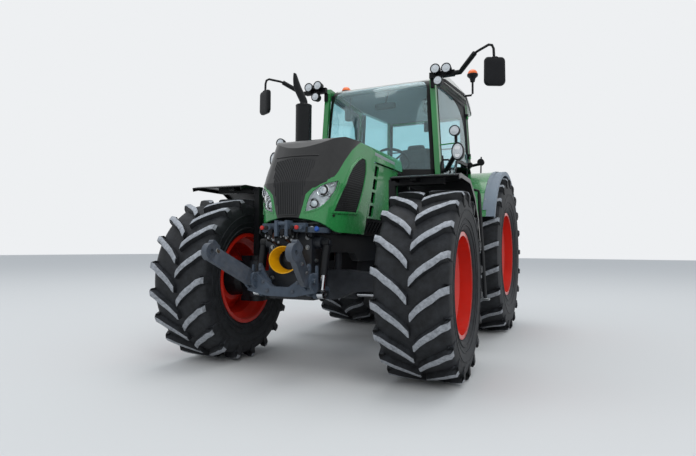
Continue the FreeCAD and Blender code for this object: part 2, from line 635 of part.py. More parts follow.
def lower_links():
    """Two lower links with catch hooks."""
    y, z = LOWER_PIVOT
    end = y + LOWER_L
    parts = []
    for s in (-1, 1):
        start = [V(s * LOWER_X - 20, y, z - 38), V(s * LOWER_X + 20, y, z - 38), V(s * LOWER_X + 20, y, z + 38),
                 V(s * LOWER_X - 20, y, z + 38)]
        stop = [V(s * LOWER_END_X - 20, end - 40, z - 42), V(s * LOWER_END_X + 20, end - 40, z - 42),
                V(s * LOWER_END_X + 20, end - 40, z + 42), V(s * LOWER_END_X - 20, end - 40, z + 42)]
        bar = Part.makeLoft([Part.makePolygon(start + start[:1]), Part.makePolygon(stop + stop[:1])], True, True)
        root = rod((s * LOWER_X - 20, y, z), (s * LOWER_X + 20, y, z), 44)
        hook = rod((s * LOWER_END_X - 22, end, z), (s * LOWER_END_X + 22, end, z), HOOK_R)
        horn = prism("x", [(end - 60, z + 20), (end + 20, z + 40), (end + 34, z + 88, 16), (end - 66, z + 74, 14)],
                     s * LOWER_END_X - 18, s * LOWER_END_X + 18)
        whole = fuse(bar, root, hook, horn)
        whole = whole.cut(rod((s * LOWER_X - 40, y, z), (s * LOWER_X + 40, y, z), 18 + GAP))
        whole = whole.cut(rod((s * LOWER_END_X - 60, end, z), (s * LOWER_END_X + 60, end, z), LINK_BORE_R))
        rod_y = y + LOWER_L * ROD_AT
        rod_x = s * (LOWER_X + (LOWER_END_X - LOWER_X) * ROD_AT)
        lug = rod((rod_x - 24, rod_y, z + 30), (rod_x + 24, rod_y, z + 30), 30)
        parts.append(fuse(whole, lug))
    return parts


def lift_arms():
    """Cross shaft and its two arms."""
    y, z = ARM_PIVOT
    shaft = rod((-ARM_X - 24, y, z), (ARM_X + 24, y, z), 46)
    arms = []
    for s in (-1, 1):
        arm = prism("x", [(y - 62, z - 30, 40), (y - 30, z + 62, 40), (y + ARM_L + 36, z + 40, 34),
                          (y + ARM_L + 36, z - 36, 34)], s * ARM_X - 24, s * ARM_X + 24)
        arms.append(arm)
    pins = [rod((s * (ARM_X + 23), y + ARM_L, z), (s * (ARM_X + 74), y + ARM_L, z), 16) for s in (-1, 1)]
    return fuse(shaft, *arms, *pins)


ARM_X = 285.0


def lift_rods():
    """Adjustable rods that hang from the arms and hold the lower links."""
    y, z = ARM_PIVOT
    rod_y = LOWER_PIVOT[0] + LOWER_L * ROD_AT
    parts = []
    for s in (-1, 1):
        x = s * (ARM_X + 50)
        top = (x, y + ARM_L, z)
        low = (x + s * 53, rod_y, LOWER_PIVOT[1] + 30)
        bar = rod(top, low, 20)
        sleeve_a = tuple(top[i] + (low[i] - top[i]) * 0.3 for i in range(3))
        sleeve_b = tuple(top[i] + (low[i] - top[i]) * 0.72 for i in range(3))
        sleeve = rod(sleeve_a, sleeve_b, 31)
        eye = rod((x - 22, top[1], top[2]), (x + 22, top[1], top[2]), 36)
        foot = rod((low[0] - 20, low[1], low[2]), (low[0] + 20, low[1], low[2]), 34)
        whole = fuse(bar, sleeve, eye, foot)
        parts.append(whole.cut(rod((x - 40, top[1], top[2]), (x + 40, top[1], top[2]), 16 + GAP)))
    return parts


def rear_hitch():
    """Hitch frame under the gearbox with the drawbar jaw, ears for both linkages, and the stowed top link."""
    y0 = GEARBOX_REAR_Y + GAP
    y, z = LOWER_PIVOT
    side = [box(s * 190 - 25, s * 190 + 25, y0, y0 + 150, 420, 700) for s in (-1, 1)]
    cross = box(-215, 215, y0, y0 + 61, JAW_Z[0], 530)
    jaw = box(-70, 70, y0 + 60, JAW_PIN_Y + 55, *JAW_Z)
    jaw = jaw.cut(box(-80, 80, y0 + 150, JAW_PIN_Y + 60, JAW_Z[0] + 32, JAW_Z[1] - 32))
    jaw = jaw.cut(rod((0, JAW_PIN_Y, 400), (0, JAW_PIN_Y, 600), DRAWBAR_PIN_R))
    pins = [rod((s * 190, y, z), (s * (LOWER_X + 32), y, z), 18) for s in (-1, 1)]
    return fuse(cross, *side, jaw, *pins)


def lift_bracket():
    """Casting on the back of the gearbox that holds the cross shaft and the stowed top link."""
    y0 = GEARBOX_REAR_Y + GAP
    y, z = ARM_PIVOT
    plate = box(-220, 220, y0, y0 + 30, 850, 1175)
    ears = []
    for s in (-1, 1):
        ear = prism("x", [(y0, 900), (y0 + 40, 900), (y + 62, z - 20, 50), (y + 40, z + 66, 50), (y0, z + 66)],
                    s * 190 - 30, s * 190 + 30)
        ears.append(ear.cut(rod((s * 190 - 40, y, z), (s * 190 + 40, y, z), 46 + GAP)))
    lug = prism("x", [(y0, 960), (y + 110, 1010, 30), (y + 110, 1075, 30), (y0, 1085)], -32, 32)
    top = rod((0, y + 85, 1045), (0, y + 68, 1650), 23)
    eye = rod((-26, y + 67, 1660), (26, y + 67, 1660), 42)
    whole = fuse(plate, *ears, lug, top, eye)
    return whole.cut(rod((-30, y + 67, 1660), (30, y + 67, 1660), 16))


# Bonnet

def bonnet_body(inset):
    """Bonnet as the common part of its side view, its plan, which leans back over the lamps, and its cross section.

    All three are drawn in by inset.
    """
    i, n = inset, NOSE_Y
    side = [(n + i, 1228), (n + i, 1530, 200), (n + 97, 1752 - i, 140), (n + 260, 1868 - i, 260),
            (n + 640, BONNET_TOP_Z - i, 900), (BONNET_REAR_Y + 1, BONNET_TOP_Z + 8 - i), (BONNET_REAR_Y + 1, 1000),
            (n + 575, BONNET_LOW_Z - 6, 60), (n + 190, BONNET_LOW_Z, 120)]
    w = BONNET_HALF_W - i
    half = [(w, BONNET_REAR_Y + 400), (w - 8, n + 695, 1500), (w - 58, n + 255, 300), (w - 158, n + 60 + i / 2, 160)]
    plan = [(-x, *rest) for x, *rest in half] + [(0, n - 25 + i, 500)] + half[::-1]
    face = Part.Face(Part.Wire(rounded(plan)))
    face.translate(V(0, 0, 1500))
    walls = face.extrude(V(0, 0, -600)).fuse(face.extrude(V(0, 300, 600))).removeSplitter()
    low = BONNET_LOW_HALF_W - i
    top = BONNET_TOP_Z + 20 - i
    section = [(-low, 1000), (-low, 1120), (-w - 2, 1380, 400), (-w, 1700, 300), (-w + 22, top - 100, 70),
               (0, top, 900), (w - 22, top - 100, 70), (w, 1700, 300), (w + 2, 1380, 400), (low, 1120), (low, 1000)]
    return prism("x", side, -600, 600).common(walls).common(prism("y", section, n - 165, -1800))


MASK_LINE = [(NOSE_Y - 365, 1330), (NOSE_Y + 75, 1460), (NOSE_Y + 135, 1540), (NOSE_Y + 185, 1631),
             (NOSE_Y + 305, 1753), (NOSE_Y + 545, 1885), (NOSE_Y + 640, 1965), (NOSE_Y + 640, 2200),
             (NOSE_Y - 365, 2200)]
MASK_FRONT = [(-88, 1200), (88, 1200), (113, 1268), (147, 1402), (238, 1489), (330, 1546), (420, 1562), (420, 1900),
              (-420, 1900), (-420, 1562), (-330, 1546), (-238, 1489), (-147, 1402), (-113, 1268)]
LAMP_FRONT = [(131, 1256, 10), (166, 1393, 25), (250, 1471, 50), (345, 1531, 8), (330, 1440, 30), (278, 1322, 40),
              (215, 1278, 60)]
GRILLE_SIDE = [(NOSE_Y + 185, 1250, 12), (NOSE_Y + 375, 1280, 25), (NOSE_Y + 613, 1690, 20),
               (NOSE_Y + 575, 1732, 20), (NOSE_Y + 409, 1682, 30), (NOSE_Y + 215, 1310, 20)]


def bonnet_pieces():
    """Green shell, dark mask over nose and top, lamp lenses and side grilles, all cut from one hollow body."""
    outer = bonnet_body(0)
    hollow = outer.cut(bonnet_body(BONNET_WALL).fuse(
        bonnet_body(BONNET_WALL).translated(V(0, 0, -60))).fuse(
        bonnet_body(BONNET_WALL).translated(V(0, 60, 0))))
    side_cut = prism("x", [(FRONT_Y + 211, SIDE_SPLIT_Z), (-1700, SIDE_SPLIT_Z), (-1700, 900), (FRONT_Y - 37, 900),
                           (FRONT_Y + 41, 1240)], -700, 700)
    hollow = hollow.cut(side_cut)
    y, z = BONNET_HINGE
    for x in (-70, 70):
        tab = rod((x - 12, y, z), (x + 12, y, z), 15).fuse(box(x - 12, x + 12, y - 10, y + 10, z, BONNET_TOP_Z - 2))
        hollow = hollow.fuse(tab)
    hollow = hollow.cut(rod((-90, y, z), (90, y, z), 9 + RUNNING))
    mask_zone = prism("x", MASK_LINE, -700, 700).fuse(prism("y", MASK_FRONT, NOSE_Y - 165, NOSE_Y + 140))
    lamp_zone = prism("y", LAMP_FRONT, NOSE_Y - 165, NOSE_Y + 215)
    lamp_zones = lamp_zone.fuse(mirrored(lamp_zone))
    grille_zone = prism("x", GRILLE_SIDE, -700, 700)
    lamps = hollow.common(lamp_zones)
    rest = hollow.cut(lamp_zones)
    mask = rest.common(mask_zone)
    green = rest.cut(mask_zone)
    grilles = green.common(grille_zone)
    green = green.cut(grille_zone)
    return green, mask, lamps, grilles


def bulkhead():
    """Frame at the back of the engine bay that carries the bonnet hinge, the side panels and their vents."""
    w = PANEL_X - PANEL_T
    ring = prism("y", [(-w, 1105), (w, 1105), (w, 1738), (w - 60, 1840, 60), (60 - w, 1840, 60), (-w, 1738)],
                 BULKHEAD_Y, BULKHEAD_Y + 40)
    ring = ring.cut(prism("y", [(50 - w, 1165, 20), (w - 50, 1165, 20), (w - 50, 1720, 40), (w - 110, 1795, 40),
                                (110 - w, 1795, 40), (50 - w, 1720, 40)], BULKHEAD_Y - 1, BULKHEAD_Y + 41))
    ring = ring.cut(box(-ENGINE_HALF_W - GAP, ENGINE_HALF_W + GAP, BULKHEAD_Y - 1, BULKHEAD_Y + 41, 1000, 1400))
    hinge_block = box(-120, 120, BULKHEAD_Y, BONNET_REAR_Y - 6, 1835, 1886)
    vents = []
    for s in (-1, 1):
        vent = prism("y", [(s * 290, 1105), (s * 330, 1105), (s * (PANEL_X - 6), PANEL_LOW_Z - 4),
                           (s * 290, PANEL_LOW_Z - 4)], FRONT_Y + 93, BULKHEAD_Y)
        for k in range(9):
            y = FRONT_Y + 133 + k * 68
            slot = prism("x", [(y, 1130), (y + 26, 1130), (y + 46, 1226), (y + 20, 1226)],
                         min(s * 318, s * 420), max(s * 318, s * 420))
            vent = vent.cut(slot)
        vents.append(vent)
    pin = rod((-110, *BONNET_HINGE), (110, *BONNET_HINGE), 9)
    y, z = BONNET_HINGE
    ears = [prism("x", [(y - 30, 1884), (y + 10, 1884), (y + 12, z + 7, 8), (y - 12, z + 12, 8)], x - 6, x + 6)
            for x in (-104, 0, 104)]
    return fuse(ring, hinge_block, *vents, pin, *ears)


def side_panels():
    """Green panels beside the engine, each with a slatted slot along its front edge."""
    run = (SIDE_SPLIT_Z - 5 - PANEL_LOW_Z) / 166
    line = [(FRONT_Y + 243, SIDE_SPLIT_Z - 5), (BULKHEAD_Y + 30, SIDE_SPLIT_Z - 5), (BULKHEAD_Y + 30, PANEL_LOW_Z),
            (FRONT_Y + 77, PANEL_LOW_Z)]
    panel = prism("x", line, PANEL_X - PANEL_T, PANEL_X)
    for k in range(4):
        z = PANEL_LOW_Z + 18 + k * 119
        y = FRONT_Y + 77 + (z - PANEL_LOW_Z) / run + 26
        step = 94 / run
        panel = panel.cut(prism("x", [(y, z, 8), (y + 86, z, 14), (y + 86 + step, z + 94, 14), (y + step, z + 94, 8)],
                                PANEL_X - PANEL_T - 5, PANEL_X + 5))
    return both(panel)


# Cab

def lean(shape):
    """Tips a piece of the left side inwards about the sill, as the cab's sides do."""
    return turn(shape, (CAB_MID_X, 0, SILL_Z), (0, 1, 0), -LEAN_DEG)


def side_point(y, z, out):
    """Place of a point of the flat drawing plane that stands out from the cab's left side."""
    return side_place(Part.Vertex(CAB_MID_X + out, y, z)).Point


def door_line(inset):
    """Door outline in Y and Z: straight at the hinge, cut away over the fender, down to the sill in front."""
    i = inset
    back, front = DOOR_HINGE_Y - 12 - i, DOOR_FRONT_Y + i
    low = LEDGE_TOP_Z + 8 + i * 1.1
    return [(back, low, 20), (back, ROOF_Z - 42 - i, 40), (front, ROOF_Z - 42 - i, 30),
            (front, SILL_Z + 22 + i, 30), (front + 130 - i * 0.2, SILL_Z + 22 + i, 60),
            (-1140 + i * 0.3, 1650 + i * 0.9, 160), (-890, low, 90)]


DOOR_FRONT_Y = -1462.0
DOOR_YAW = math.degrees(math.atan2(CAB_MID_X - CAB_FRONT_X, DOOR_HINGE_Y - CAB_FRONT_Y))


def side_place(shape):
    """From the flat drawing plane of the cab's left side to its slanted and leaning place."""
    return lean(turn(shape, (CAB_MID_X, DOOR_HINGE_Y, 0), (0, 0, 1), -DOOR_YAW))


HINGE_HEIGHTS = (2110.0, 2600.0)
HINGE_AT = (CAB_MID_X + 14, DOOR_HINGE_Y - 6)


def hinge_leaf(z, fixed):
    """One leaf of a door hinge: the pillar's carries the pin, the door's has the hole."""
    x, y = HINGE_AT
    if fixed:
        leaf = rod((x, y, z - 30), (x, y, z), 12).fuse(box(x - 16, x, y + 6, y + 18, z - 30, z))
        return leaf.fuse(rod((x, y, z - 5), (x, y, z + 28), 6))
    leaf = rod((x, y, z + GAP), (x, y, z + 30), 12).fuse(box(x - 16, x, y - 24, y - 6, z + GAP, z + 30))
    return leaf.cut(rod((x, y, z - 5), (x, y, z + 35), 6 + RUNNING))


def door():
    """Left door: a slim frame, its pane and the handle."""
    x1 = CAB_MID_X
    frame = prism("x", door_line(0), x1 - DOOR_T, x1).cut(prism("x", door_line(DOOR_RAIL), x1 - DOOR_T - 1, x1 + 1))
    lugs = [hinge_leaf(z, False) for z in HINGE_HEIGHTS]
    grip = box(x1, x1 + 26, DOOR_FRONT_Y + 8, DOOR_FRONT_Y + 30, 1560, 1740)
    pane = prism("x", door_line(DOOR_RAIL + GAP), x1 - DOOR_T / 2 - GLASS_T / 2, x1 - DOOR_T / 2 + GLASS_T / 2)
    return side_place(fuse(frame, grip, *lugs)), side_place(pane)


def pillars():
    """Pillars and rails of the cab, one side's drawn flat and leaned into place, as solids that touch."""
    x1 = CAB_MID_X
    t = DOOR_T + 22
    front = prism("x", [(DOOR_FRONT_Y - 70, SILL_Z), (DOOR_FRONT_Y - 8, SILL_Z), (DOOR_FRONT_Y - 8, ROOF_Z - 34),
                        (DOOR_FRONT_Y - 62, ROOF_Z - 34)], x1 - t, x1 + 4)
    foot = LEDGE_TOP_Z + 5
    hinge = prism("x", [(DOOR_HINGE_Y, foot), (DOOR_HINGE_Y + PILLAR, foot), (DOOR_HINGE_Y + PILLAR, ROOF_Z - 34),
                        (DOOR_HINGE_Y, ROOF_Z - 34)], x1 - t, x1)
    hinge = fuse(hinge, *[hinge_leaf(z, True) for z in HINGE_HEIGHTS])
    rail = prism("x", [(DOOR_FRONT_Y - 62, ROOF_Z - 34), (DOOR_HINGE_Y + PILLAR, ROOF_Z - 34),
                       (DOOR_HINGE_Y + PILLAR, ROOF_Z + 17), (DOOR_FRONT_Y - 30, ROOF_Z + 28)], x1 - t, x1 - 2)
    sill = prism("x", [(DOOR_FRONT_Y - 8, SILL_Z - 46), (-1210, SILL_Z - 46), (-1210, SILL_Z + 12),
                       (DOOR_FRONT_Y - 8, SILL_Z + 12)], x1 - t, x1)
    side = [side_place(p) for p in (front, hinge, rail, sill)]
    whole = side + [mirrored(p) for p in side]
    low, high = REAR_POST_X
    rear = strut((low, CAB_REAR_Y - 10, LEDGE_TOP_Z + GAP), (high, CAB_REAR_Y - 40, CAB_TOP_Z), 60, 60)
    back = box(31 - high, high - 31, CAB_REAR_Y - 70, CAB_REAR_Y - 10, ROOF_Z - 40, CAB_TOP_Z)
    return whole + both(rear) + [back]


def cab_shell():
    """Floor, the walls between the rear wheels, the rear wall and the front wall, as solids that touch."""
    fx = CAB_FRONT_X - 62
    floor = prism("z", [(-ARCH_X + 25, CAB_REAR_Y - 30), (-ARCH_X + 25, -960), (-fx - 10, -1100), (-fx, CAB_FRONT_Y + 30),
                        (fx, CAB_FRONT_Y + 30), (fx + 10, -1100), (ARCH_X - 25, -960), (ARCH_X - 25, CAB_REAR_Y - 30)],
                  FLOOR_Z, FLOOR_Z + FLOOR_T)
    wall = prism("x", [(-960, FLOOR_Z), (CAB_REAR_Y, FLOOR_Z), (CAB_REAR_Y, LEDGE_Z), (-560, LEDGE_Z), (-800, 1800, 200),
                       (-960, 1500, 200)], ARCH_X - 25, ARCH_X)
    back = box(-ARCH_X + 25, ARCH_X - 25, CAB_REAR_Y - 30, CAB_REAR_Y, FLOOR_Z, LEDGE_TOP_Z)
    front = box(20 - fx, fx - 20, CAB_FRONT_Y, CAB_FRONT_Y + 30, FLOOR_Z, 1700)
    ledge = prism("z", [(ARCH_X - 25, -560), (CAB_MID_X - 50, -560), (CAB_MID_X - 50, -360), (ARCH_X + 130, CAB_REAR_Y + 22),
                        (ARCH_X - 25, CAB_REAR_Y + 22)], LEDGE_Z, LEDGE_TOP_Z)
    mounts = [rod((s * 150, y, z + GAP), (s * 150, y, FLOOR_Z), 45) for s in (-1, 1) for y, z in ((-1400, 1144), (100, 1184))]
    return [floor, *both(wall), back, front, *both(ledge), *mounts]


def roof():
    """Cream roof: a low crowned shell with a chamfered rim that overhangs the rear."""
    plan = [(-655, -1262, 120), (0, -1300, 900), (655, -1262, 120), (735, -500, 900), (600, CAB_REAR_Y + 110, 120),
            (-600, CAB_REAR_Y + 110, 120), (-735, -500, 900)]
    side = [(-1290, ROOF_Z + 20), (-1290, ROOF_Z + 45), (-1000, ROOF_TOP_Z - 40, 500), (-400, ROOF_TOP_Z, 1500),
            (CAB_REAR_Y + 60, ROOF_TOP_Z - 50, 120), (CAB_REAR_Y + 150, ROOF_Z + 40), (CAB_REAR_Y + 150, ROOF_Z + 20)]
    section = [(-760, ROOF_Z), (760, ROOF_Z), (760, ROOF_Z + 50), (640, ROOF_TOP_Z - 30, 120), (0, ROOF_TOP_Z + 20, 2500),
               (-640, ROOF_TOP_Z - 30, 120), (-760, ROOF_Z + 50)]
    return prism("z", plan, ROOF_Z + 20, ROOF_TOP_Z + 60).common(prism("x", side, -900, 900)).common(
        prism("y", section, -1500, 800))


# Height, Y at the edge, Y at the middle
SCREEN = [(SILL_Z + 400, -1490, -1668), (ROOF_Z - 540, -1488, -1655), (ROOF_Z - 270, -1478, -1610),
          (ROOF_Z - 100, -1460, -1520), (ROOF_Z - 34, -1425, -1462), (ROOF_Z + 2, -1365, -1392),
          (CAB_TOP_Z, -1262, -1285)]


def windscreen():
    """Curved screen that rolls back over the driver into the roof."""
    wires = []
    for z, edge, mid in SCREEN:
        t = GLASS_T
        half = CAB_FRONT_X - 60 - (z - SILL_Z) * math.tan(math.radians(LEAN_DEG))
        outer = Part.Arc(V(-half, edge, z), V(0, mid, z), V(half, edge, z)).toShape()
        inner = Part.Arc(V(half, edge + t, z), V(0, mid + t, z), V(-half, edge + t, z)).toShape()
        ends = [Part.LineSegment(V(half, edge, z), V(half, edge + t, z)).toShape(),
                Part.LineSegment(V(-half, edge + t, z), V(-half, edge, z)).toShape()]
        wires.append(Part.Wire([outer, ends[0], inner, ends[1]]))
    return Part.makeLoft(wires, True, True)


def rear_glass():
    """Side quarter panes and the rear pane."""
    top_x = CAB_MID_X - (ROOF_Z - SILL_Z) * math.tan(math.radians(LEAN_DEG))
    foot = LEDGE_TOP_Z + GAP
    low_lean = (foot - SILL_Z) * math.tan(math.radians(LEAN_DEG))
    hinge_low, hinge_top = CAB_MID_X - low_lean - 30, top_x - 30
    rear_low, rear_top = REAR_POST_X[0] + 10, REAR_POST_X[1] + 10
    y0, y1 = DOOR_HINGE_Y + PILLAR + 10, CAB_REAR_Y - 42
    t = GLASS_T
    low = [V(hinge_low, y0, foot), V(rear_low, y1, foot), V(rear_low - t, y1, foot), V(hinge_low - t, y0, foot)]
    high = [V(hinge_top, y0, CAB_TOP_Z), V(rear_top, y1 - 30, CAB_TOP_Z), V(rear_top - t, y1 - 30, CAB_TOP_Z),
            V(hinge_top - t, y0, CAB_TOP_Z)]
    side = Part.makeLoft([Part.makePolygon(low + low[:1]), Part.makePolygon(high + high[:1])], True, True)
    w0, w1 = REAR_POST_X[0] - 32, REAR_POST_X[1] - 32
    a, b = CAB_REAR_Y - 14, CAB_REAR_Y - 40
    top = ROOF_Z - 40 - GAP
    low = [V(-w0, a, foot), V(w0, a, foot), V(w0, a + t, foot), V(-w0, a + t, foot)]
    high = [V(-w1, b, top), V(w1, b, top), V(w1, b + t, top), V(-w1, b + t, top)]
    rear = Part.makeLoft([Part.makePolygon(low + low[:1]), Part.makePolygon(high + high[:1])], True, True)
    return both(side) + [rear]


def cab_inside():
    """Seat pedestal with the armrest console, and the steering column with its dash."""
    z = FLOOR_Z + FLOOR_T
    base = box(-230, 230, -640, -220, z, z + 260)
    console = prism("x", [(-760, z + 420, 30), (-420, z + 480, 40), (-180, z + 470, 30), (-180, z, 10), (-640, z, 10)],
                    -430, -300)
    arm = prism("x", [(-900, z + 460, 15), (-880, z + 510, 15), (-300, z + 520, 15), (-300, z + 460, 15)], -430, -290)
    pedestal = fuse(base, box(-310, -225, -600, -250, z, z + 120), console, arm)
    column = prism("x", [(CAB_FRONT_Y + 200, z), (CAB_FRONT_Y + 80, z), (CAB_FRONT_Y + 60, 1720, 60),
                         (CAB_FRONT_Y + 250, 1800, 40), (CAB_FRONT_Y + 330, 1770, 30)], -160, 160)
    lean_y, lean_z = math.sin(math.radians(WHEEL_TILT)), math.cos(math.radians(WHEEL_TILT))
    y, z = WHEEL_AT[0] - (BOSS_LOW + GAP) * lean_y, WHEEL_AT[1] - (BOSS_LOW + GAP) * lean_z
    post = rod((0, y - 200 * lean_y, z - 200 * lean_z), (0, y, z), 32)
    return [pedestal, fuse(column, post)]


WHEEL_AT = (-1085.0, 1930.0)   # centre of the steering wheel's boss
WHEEL_TILT = 33.0
BOSS_LOW = 18.0


def steering_wheel():
    y, z = WHEEL_AT
    ring = Part.makeTorus(205, 15, V(0, y, z), V(0, 0, 1))
    boss = Part.makeCylinder(48, 40, V(0, y, z - BOSS_LOW), V(0, 0, 1))
    spokes = [turn(box(20, 205, y - 18, y + 18, z - 8, z + 8), (0, y, z), (0, 0, 1), a) for a in (90, 210, 330)]
    whole = fuse(ring, boss, *spokes)
    return turn(whole, (0, y, z), (1, 0, 0), -WHEEL_TILT)


def seat():
    z = FLOOR_Z + FLOOR_T + 260
    cushion = box(-250, 250, -760, -240, z, z + 130)
    back = prism("x", [(-290, z + 130 + GAP, 20), (-180, z + 130 + GAP, 40), (-90, z + 760, 40), (-180, z + 780, 40)],
                 -240, 240)
    head = prism("x", [(-190, z + 790, 20), (-100, z + 790, 30), (-80, z + 960, 40), (-165, z + 960, 40)], -130, 130)
    stem = box(-40, 40, -160, -120, z + 700, z + 800)
    return [cushion, fuse(back, head, stem)]


# Body parts outside

def rear_fenders():
    """Green fenders: an arched top, an inner wall that stands on the cab, and the grey flare outside."""
    sheet = arc_sheet(0, REAR_Z, FENDER_R, FENDER_T, ARCH_X + 6, FLARE_X, *FENDER_ENDS)
    wall = Part.makeCylinder(FENDER_R + FENDER_T, 14, V(ARCH_X + GAP, 0, REAR_Z), V(1, 0, 0))
    keep = prism("x", [(-930, 1352), (-700, 1450), (-300, 1560), (300, 1560), (900, 1440), (900, 2100), (-930, 2100)],
                 ARCH_X - 1, ARCH_X + 20)
    return both(fuse(sheet, wall.common(keep)))


def fender_flares():
    low, high = FENDER_ENDS
    sheet = arc_sheet(0, REAR_Z, FENDER_R, FENDER_T, FLARE_X + GAP, FLARE_OUT_X, low - 4, high)
    lip = arc_sheet(0, REAR_Z, FENDER_R - 38, FENDER_T + 38, FLARE_OUT_X - 12, FLARE_OUT_X, low - 4, high)
    return both(fuse(sheet, lip))


def side_tanks():
    """Fuel tank and additive tank on the left, tool and battery box on the right."""
    fuel = prism("y", [(240, 560, 60), (640, 520, 80), (680, 700, 60), (680, 1130, 60), (300, 1130, 40), (240, 1000, 60)],
                 TANK_FRONT_Y, -1060)
    additive = prism("z", [(700, -1190, 30), (940, -1190, 40), (940, -1050, 40), (700, -1050, 30)], 1190, 1440)
    neck = rod((860, -1110, 1439), (860, -1110, 1496), 34)
    hanger = box(300, 400, -1420, -1320, 1129, FLOOR_Z - GAP)
    tool = prism("y", [(-660, 560, 50), (-240, 560, 60), (-240, 1080, 40), (-660, 1080, 40)], TANK_FRONT_Y, -1060)
    hanger_r = box(-400, -300, -1420, -1320, 1079, FLOOR_Z - GAP)
    arm = box(560, 760, -1150, -1090, 1196, FLOOR_Z - GAP)
    return [fuse(fuel, hanger), fuse(additive, neck, arm.cut(fuel)), fuse(tool, hanger_r)]


def access_steps():
    """Ladder of three treads between two cheeks, with its handrail."""
    y0, y1 = -1600, -1230
    slim = []
    for y in (y0, y1):
        slim.append(prism("y", [(905, 470, 30), (1060, 470, 30), (1000, 1000, 60), (720, 1226), (700, 1226), (700, 1150, 40)],
                          y, y + 14))
    treads = [box(x0, x1, y0 + 1, y1 + 1, z, z + 26) for x0, x1, z in ((905, 1060, 480), (870, 1035, 730), (800, 1000, 980))]
    deck = box(500, 860, -1455, y1 + 14, FLOOR_Z - 30, FLOOR_Z - GAP)
    deck = deck.fuse(box(700, 860, y0, -1455, FLOOR_Z - 30, FLOOR_Z - GAP))
    return both(fuse(*slim, *treads, deck))


def exhaust():
    """Silencer on the right front pillar with its slant cut tail pipe."""
    x, y = -640, -2000
    can = turned([(0, 0), (0, 66), (20, 84, 10), (1030, 84, 10), (1050, 66), (1050, 0)], 0, 0, 0)
    can = turn(can, (0, 0, 0), (0, 1, 0), -90)
    can.translate(V(x, y, 1450))
    path = [(x, y, 2470), (x, y, 2540), (x - 52, y - 46, 2680), (x - 98, y - 95, 2850)]
    pipe = tube(path, 40, 70)
    bore = tube([(x, y, 2500)] + path[1:3] + [(x - 104, y - 101, 2870)], 35, 70)
    cut = turn(box(-300, 0, -400, 400, -400, 400), (0, 0, 0), (0, 1, 0), 7)
    cut.translate(V(x - 82, y, 2650))
    cut = cut.fuse(box(x - 400, x + 200, y - 400, y + 400, 2822, 3000))
    stay = box(x + 50, -330, BULKHEAD_Y + 40 + GAP, BULKHEAD_Y + 70, 1560, 1590)
    return fuse(can, pipe.cut(bore).cut(cut), stay)


def work_lights():
    """Lamp clusters on the roof's front corners; then the two beacons on their poles."""
    clusters = []
    posts = pillars()
    for s in (-1, 1):
        block = box(min(s * 600, s * 860), max(s * 600, s * 860), -1585, -1541, ROOF_Z - 45, ROOF_Z + 15)
        lamps = []
        for x, rise, r in ((676, 30, 52), (790, 22, 52), (704, -94, 50)):
            lamp = turned([(0, 0), (0, r), (70, r - 8), (100, r - 26), (100, 0)], 0, 0, 0)
            lamp = turn(lamp, (0, 0, 0), (0, 0, 1), 90)
            lamp.translate(V(s * x, -1640, ROOF_Z + rise))
            lamps.append(lamp)
        drop = box(s * 704 - 16, s * 704 + 16, -1580, -1550, ROOF_Z - 100, ROOF_Z - 30)
        stay = box(min(s * 602, s * 638), max(s * 602, s * 638), -1545, -1512, ROOF_Z - 130, ROOF_Z - 40)
        for post in posts:
            stay = stay.cut(post)
        clusters.append(fuse(block, *lamps, drop, stay))
    beacons = []
    cover = roof()
    for s in (-1, 1):
        x, y, z = s * 830, -560, ROOF_TOP_Z + 85
        pole = rod((x, y, CAB_TOP_Z + 8), (x, y, z), 13)
        foot = box(min(s * 660, s * 850), max(s * 660, s * 850), y - 20, y + 20, CAB_TOP_Z + 6, CAB_TOP_Z + 22)
        foot = foot.cut(cover)
        base = Part.makeCylinder(64, 26, V(x, y, z))
        dome = base.fuse(Part.makeSphere(60, V(x, y, z + 26), V(0, 0, 1), 0, 90, 360))
        beacons.append(fuse(pole, foot, dome))
    return clusters, beacons


def mirrors():
    """Mirror arms that reach out of the lamp clusters, each with its housing."""
    parts = []
    for s in (-1, 1):
        z = ROOF_Z - 15
        arm = tube([(s * (860 + GAP), -1562, z), (s * 920, -1562, z), (s * 1090, -1710, z + 115)], 26, 60)
        thin = tube([(s * 1085, -1706, z + 113), (s * 1235, -1775, z + 155), (s * 1262, -1772, z - 55)], 13, 30)
        head = prism("y", [(s * 1262 - 128, z - 275, 22), (s * 1262 + 128, z - 275, 22), (s * 1262 + 130, z + 25, 26),
                           (s * 1262 - 130, z + 25, 26)], -1795, -1745)
        head = turn(head, (s * 1262, -1770, 0), (0, 0, 1), s * 27)
        parts.append(fuse(arm, thin, head))
    return parts


# X and Z of the road lamp and of the flasher above it, for the driver's left and right
LAMP_ARMS = {1: ((934.0, 1935.0), (902.0, 2142.0)), -1: ((-1150.0, 1990.0), (-1082.0, 2180.0))}


